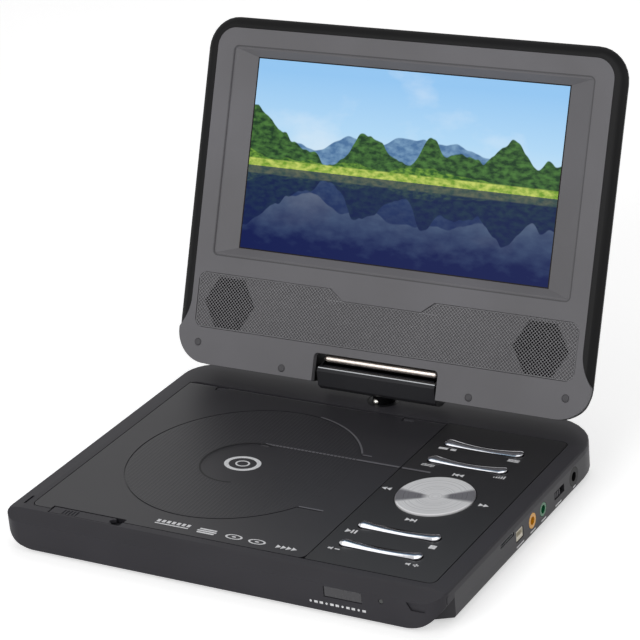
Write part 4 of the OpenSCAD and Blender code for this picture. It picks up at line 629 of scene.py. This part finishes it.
def makeCap(key, body):
    cap = rockerCap
    low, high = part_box(key)
    half = (high.x - low.x) / mm / 2
    bm = bmesh.new()
    bmesh.ops.create_grid(bm, x_segments=cap["along"], y_segments=cap["across"], size=1)
    made = bmesh.ops.extrude_face_region(bm, geom=bm.faces[:])
    upper = [v for v in made["geom"] if isinstance(v, bmesh.types.BMVert)]
    bmesh.ops.translate(bm, vec=(0, 0, 1), verts=upper)
    for v in bm.verts:
        x, t = half * math.sin(math.pi / 2 * v.co.x), v.co.y
        past = max(abs(x) - half + cap["corner"], 0)
        w = cap["wide"] / 2 - cap["corner"] + math.sqrt(max(cap["corner"] ** 2 - past ** 2, 0))
        w = min(w, cap["wide"] / 2 - cap["waist"] + x * x / cap["waistBow"])
        floor = min(0, x * x / cap["dishBow"] - cap["dish"])
        dome = cap["lift"] + cap["crown"] * (1 - t * t) * 2 * w / cap["wide"]
        v.co = (x, w * t, floor + (dome if v.co.z > 0.5 else -cap["sink"]))
    place = Matrix.Translation(((low.x + high.x) / 2, (low.y + high.y) / 2, high.z))
    bmesh.ops.transform(bm, matrix=place @ toMetres, verts=bm.verts)
    addPiece(key.replace("rocker", "cap"), bm, chrome, body, smooth=40)


for key in ("menu", "search", "play", "volume"):
    makeCap(key + "_rocker", key + "_key")
print("rocker caps made")

# bright chrome rail along the top of the hinge barrel, partly a real rail and partly a painted highlight for the
# bright band on the barrel's top, in mm from the tilt axis
railHighlight = {"round": 1.85, "long": 53.4, "out": 6.2, "angle": 88, "bends": 12, "sides": 24}
bm = bmesh.new()
outline = []
for k in range(railHighlight["bends"] + 1):
    t = math.radians(90 * k / railHighlight["bends"] - 180)
    outline.append((-railHighlight["long"] / 2 + railHighlight["round"] * math.cos(t), -railHighlight["round"] * math.sin(t)))
outline += [(-x, y) for x, y in outline[::-1]]
verts = [bm.verts.new((x, y, 0)) for x, y in outline]
edges = [bm.edges.new(pair) for pair in zip(verts, verts[1:])]
bmesh.ops.spin(bm, geom=verts + edges, axis=(1, 0, 0), cent=(0, 0, 0), angle=math.radians(360),
               steps=railHighlight["sides"], use_merge=True)
bmesh.ops.remove_doubles(bm, verts=bm.verts, dist=0.001)
t = math.radians(railHighlight["angle"])
railMid = tiltMid + Vector((0, -math.cos(t), math.sin(t))) * railHighlight["out"] * mm
bmesh.ops.transform(bm, matrix=Matrix.Translation(railMid) @ toMetres, verts=bm.verts)
addPiece("hinge_rail_highlight", bm, highlightChrome, "turret", smooth=60)

# steel strip along the front edge of the hinge block, a painted highlight for the light on that edge, in mm from
# the tilt axis
blockHighlight = {"long": 58.4, "wide": 0.45, "thick": 0.1, "front": 5.95, "up": 3.95, "slant": 45}
bm = bmesh.new()
stamp(bm, "bar", 0, 0, blockHighlight["long"], blockHighlight["wide"])
edgeAt = Matrix.Translation(tiltMid + Vector((0, -blockHighlight["front"], blockHighlight["up"])) * mm)
printOn(bm, edgeAt @ Matrix.Rotation(math.radians(blockHighlight["slant"]), 4, "X"), blockHighlight["thick"])
addPiece("block_edge_highlight", bm, steel, "turret")

# steel stud in the swivel post, and a painted glint for the light on the post, in mm from the post's middle, its
# height from the table
studGlint = {"round": 1.45, "out": 4.5, "angle": -20, "high": 17.3}
t = math.radians(studGlint["angle"])
spot = tiltMid / mm + Vector((math.sin(t), -math.cos(t), 0)) * studGlint["out"]
spot.z = studGlint["high"]
bm = bmesh.new()
bmesh.ops.create_uvsphere(bm, u_segments=24, v_segments=16, radius=studGlint["round"],
                          matrix=Matrix.Translation(spot))
bmesh.ops.transform(bm, matrix=toMetres, verts=bm.verts)
addPiece("post_stud_glint", bm, glintSteel, "turret", smooth=60)
print("hinge trimmed")

# plain marks under the window in the fascia, in mm from the window's middle
fasciaMarks = {"thick": 0.05, "below": 2.0, "from": -14.6, "to": 9.2, "count": 11, "size": 1.0, "long": 1.5}
low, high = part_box("ir_window")
step = (fasciaMarks["to"] - fasciaMarks["from"]) / (fasciaMarks["count"] - 1)
bm = bmesh.new()
for k in range(fasciaMarks["count"]):
    x = (low.x + high.x) / mm / 2 + fasciaMarks["from"] + step * k
    shape, wide = ("bar", fasciaMarks["long"]) if k % 3 else ("dot", fasciaMarks["size"])
    stamp(bm, shape, x, low.z / mm - fasciaMarks["below"], wide, fasciaMarks["size"])
facingFront = Matrix.Rotation(math.radians(90), 4, "X")
printOn(bm, Matrix.Translation((0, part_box("top_case")[0].y, 0)) @ facingFront, fasciaMarks["thick"])
addPiece("fascia_marks", bm, ink, "base")

# a strip under each socket on the right side, with its width in mm
socketMarks = {"thick": 0.05, "up": 4.2, "high": 0.6,
               "widths": {"dc_jack": 2.4, "power_switch": 6.0, "headphone_jack": 4.5, "av_jack": 5.0,
                          "usb_port": 7.0}}
bm = bmesh.new()
for name, wide in socketMarks["widths"].items():
    stamp(bm, "bar", boxMid(name).y / mm, socketMarks["up"], wide, socketMarks["high"])
facingRight = Matrix.Rotation(math.radians(90), 4, "Z") @ facingFront
printOn(bm, Matrix.Translation((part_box("bottom_case")[1].x, 0, 0)) @ facingRight, socketMarks["thick"])
addPiece("socket_marks", bm, ink, "base")
print("side marks printed")

# net over the grille: bars crossing at a slant, trimmed to the grille's outline, in mm on the screen
bezelOut = 9.0                                        # from the tilt axis to the bezel's face
grilleNet = {"cell": 1.17, "bar": 0.46, "thick": 0.5, "sunk": 0.35, "bottom": 12.15, "top": 36.85, "inset": 0.25,
             "corner": 3.6, "dipTop": 26.8, "dipLow": 19.5, "dipHigh": 4.9}


def makeNet():
    net = grilleNet
    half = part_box("speaker_grille")[1].x / mm - net["inset"]
    bottom, top = net["bottom"], net["top"]
    bm = bmesh.new()
    count = int((half * 2 + 30) / net["cell"] / math.sqrt(2)) + 2
    slant = Matrix.Translation((0, (bottom + top) / 2, 0)) @ Matrix.Rotation(math.radians(45), 4, "Z")
    bmesh.ops.create_grid(bm, x_segments=count, y_segments=count, size=count * net["cell"] / 2, matrix=slant)
    bend = net["corner"] * (1 - math.sqrt(0.5))
    trims = [((half, 0), (1, 0)), ((-half, 0), (-1, 0)), ((0, top), (0, 1)), ((0, bottom), (0, -1))]
    for sx in (1, -1):
        for y, sy in ((top, 1), (bottom, -1)):
            trims.append(((sx * (half - bend), y - sy * bend), (sx, sy)))
    for (x, y), (nx, ny) in trims:
        bmesh.ops.bisect_plane(bm, geom=bm.verts[:] + bm.edges[:] + bm.faces[:], dist=1e-4,
                               plane_co=(x, y, 0), plane_no=(nx, ny, 0), clear_outer=True)
    # the dip under the picture
    run = net["dipTop"] - net["dipLow"]
    floor = top - net["dipHigh"]
    for x, y, nx, ny in ((net["dipTop"], top, net["dipHigh"], -run), (-net["dipTop"], top, -net["dipHigh"], -run),
                         (0, floor, 0, 1)):
        reach = run + net["cell"] if x else net["dipTop"]
        middles = [(f, f.calc_center_median()) for f in bm.faces]
        near = [f for f, c in middles if c.y > floor - net["cell"] and abs(c.x - x) < reach]
        geom = list({e for f in near for e in f.verts[:] + f.edges[:] + [f]})
        bmesh.ops.bisect_plane(bm, geom=geom, dist=1e-4, plane_co=(x, y, 0), plane_no=(nx, ny, 0))
    middles = [(f, f.calc_center_median()) for f in bm.faces]
    gone = [f for f, c in middles if c.y > floor
            and abs(c.x) < net["dipLow"] + (c.y - floor) / net["dipHigh"] * run]
    bmesh.ops.delete(bm, geom=gone, context="FACES")
    bmesh.ops.wireframe(bm, faces=bm.faces[:], thickness=net["bar"] / 2, use_boundary=True, use_even_offset=True,
                        use_replace=True)
    bmesh.ops.scale(bm, vec=(1, 1, net["thick"] / net["bar"]), verts=bm.verts)
    bmesh.ops.translate(bm, vec=(0, 0, bezelOut - net["sunk"]), verts=bm.verts)
    bmesh.ops.transform(bm, matrix=drawnOnScreen @ toMetres, verts=bm.verts)
    addPiece("grille_net", bm, netAbs, "screen")


makeNet()
print("grille net made")

# painted shade round the sloped frame of the picture, where its step falls in shade, in mm on the screen
frameShadeLine = {"wide": 177.4, "high": 95.6, "corner": 2.4, "line": 0.6, "thick": 0.03}
x, y, corner = frameShadeLine["wide"] / 2, frameShadeLine["high"] / 2, frameShadeLine["corner"]
bm = bmesh.new()
for k, (sx, sy) in enumerate(((1, 1), (-1, 1), (-1, -1), (1, -1))):
    drawArc(bm, sx * (x - corner), picture["up"] + sy * (y - corner), corner, frameShadeLine["line"],
            90 * k, 90 * k + 90)
for side in (1, -1):
    stamp(bm, "bar", 0, picture["up"] + side * y, 2 * (x - corner), frameShadeLine["line"])
    stamp(bm, "bar", side * x, picture["up"], frameShadeLine["line"], 2 * (y - corner))
bmesh.ops.remove_doubles(bm, verts=bm.verts, dist=0.001)
printOn(bm, drawnOnScreen @ Matrix.Translation((0, 0, bezelOut * mm)), frameShadeLine["thick"])
addPiece("frame_shade_line", bm, frameShadeAbs, "screen")

# black cloth in front of the two fields of holes, in mm on the screen
clothFields = {"x": 77.6, "up": 24.0, "wide": 26.4, "sunk": 0.69, "thick": 0.08}
bm = bmesh.new()
for side in (1, -1):
    stamp(bm, "hexagon", side * clothFields["x"], clothFields["up"], clothFields["wide"], clothFields["wide"])
printOn(bm, drawnOnScreen @ Matrix.Translation((0, 0, (bezelOut - clothFields["sunk"]) * mm)), clothFields["thick"])
addPiece("speaker_cloth", bm, speakerCloth, "screen")
print("screen trimmed")

# floor, world and lamps; a lamp has its place and size in metres and its power in watts
studio = {"floor": "#f4f4f4", "floorSize": 12, "floorGlow": 0.5, "worldLight": 0.3, "aim": (0, 0, 0.06),
          "lamps": [
              ("key", (-0.22, -1.0, 0.52), 0.8, 5.6),
              ("fill", (0.95, -0.35, 0.6), 0.8, 2.3),
              ("top", (-0.2, 0.6, 1.1), 0.9, 2.7),
          ]}


# 1 for what the camera sees, also in mirrors and through glass, 0 for the light that falls on the player
def seenOnly(holder):
    path = addNode(holder, "LightPath")
    seen = path.outputs["Is Camera Ray"]
    for name in ("Is Glossy Ray", "Is Transmission Ray"):
        seen = addNode(holder, "Math", {"operation": "MAXIMUM"}, {0: seen, 1: path.outputs[name]}).outputs[0]
    return seen


def makeStudio():
    bpy.ops.mesh.primitive_plane_add(size=studio["floorSize"], location=(0, 0, 0))
    floor = bpy.context.object
    floor.name = "floor"
    mat, bsdf = newMaterial("painted_floor", Roughness=0.9, Base_Color=hexColour(studio["floor"]),
                            Emission_Color=(1, 1, 1, 1))
    glow = addNode(mat, "Math", {"operation": "MULTIPLY", 1: studio["floorGlow"]}, {0: seenOnly(mat)})
    mat.node_tree.links.new(glow.outputs[0], bsdf.inputs["Emission Strength"])
    floor.data.materials.append(mat)
    world = bpy.data.worlds.new("studio")
    bpy.context.scene.world = world
    world.use_nodes = True
    background = world.node_tree.nodes["Background"]
    background.inputs["Color"].default_value = (1, 1, 1, 1)
    level = addNode(world, "MapRange", {"To Min": studio["worldLight"]}, {"Value": seenOnly(world)})
    world.node_tree.links.new(level.outputs[0], background.inputs["Strength"])
    for name, place, size, power in studio["lamps"]:
        data = bpy.data.lights.new(name, "AREA")
        data.size = size
        data.energy = power
        lamp = bpy.data.objects.new(name, data)
        lamp.location = place
        lamp.rotation_euler = (Vector(studio["aim"]) - Vector(place)).to_track_quat("-Z", "Y").to_euler()
        bpy.context.scene.collection.objects.link(lamp)


makeStudio()
bpy.context.scene.view_settings.view_transform = "Standard"
print("studio lit")
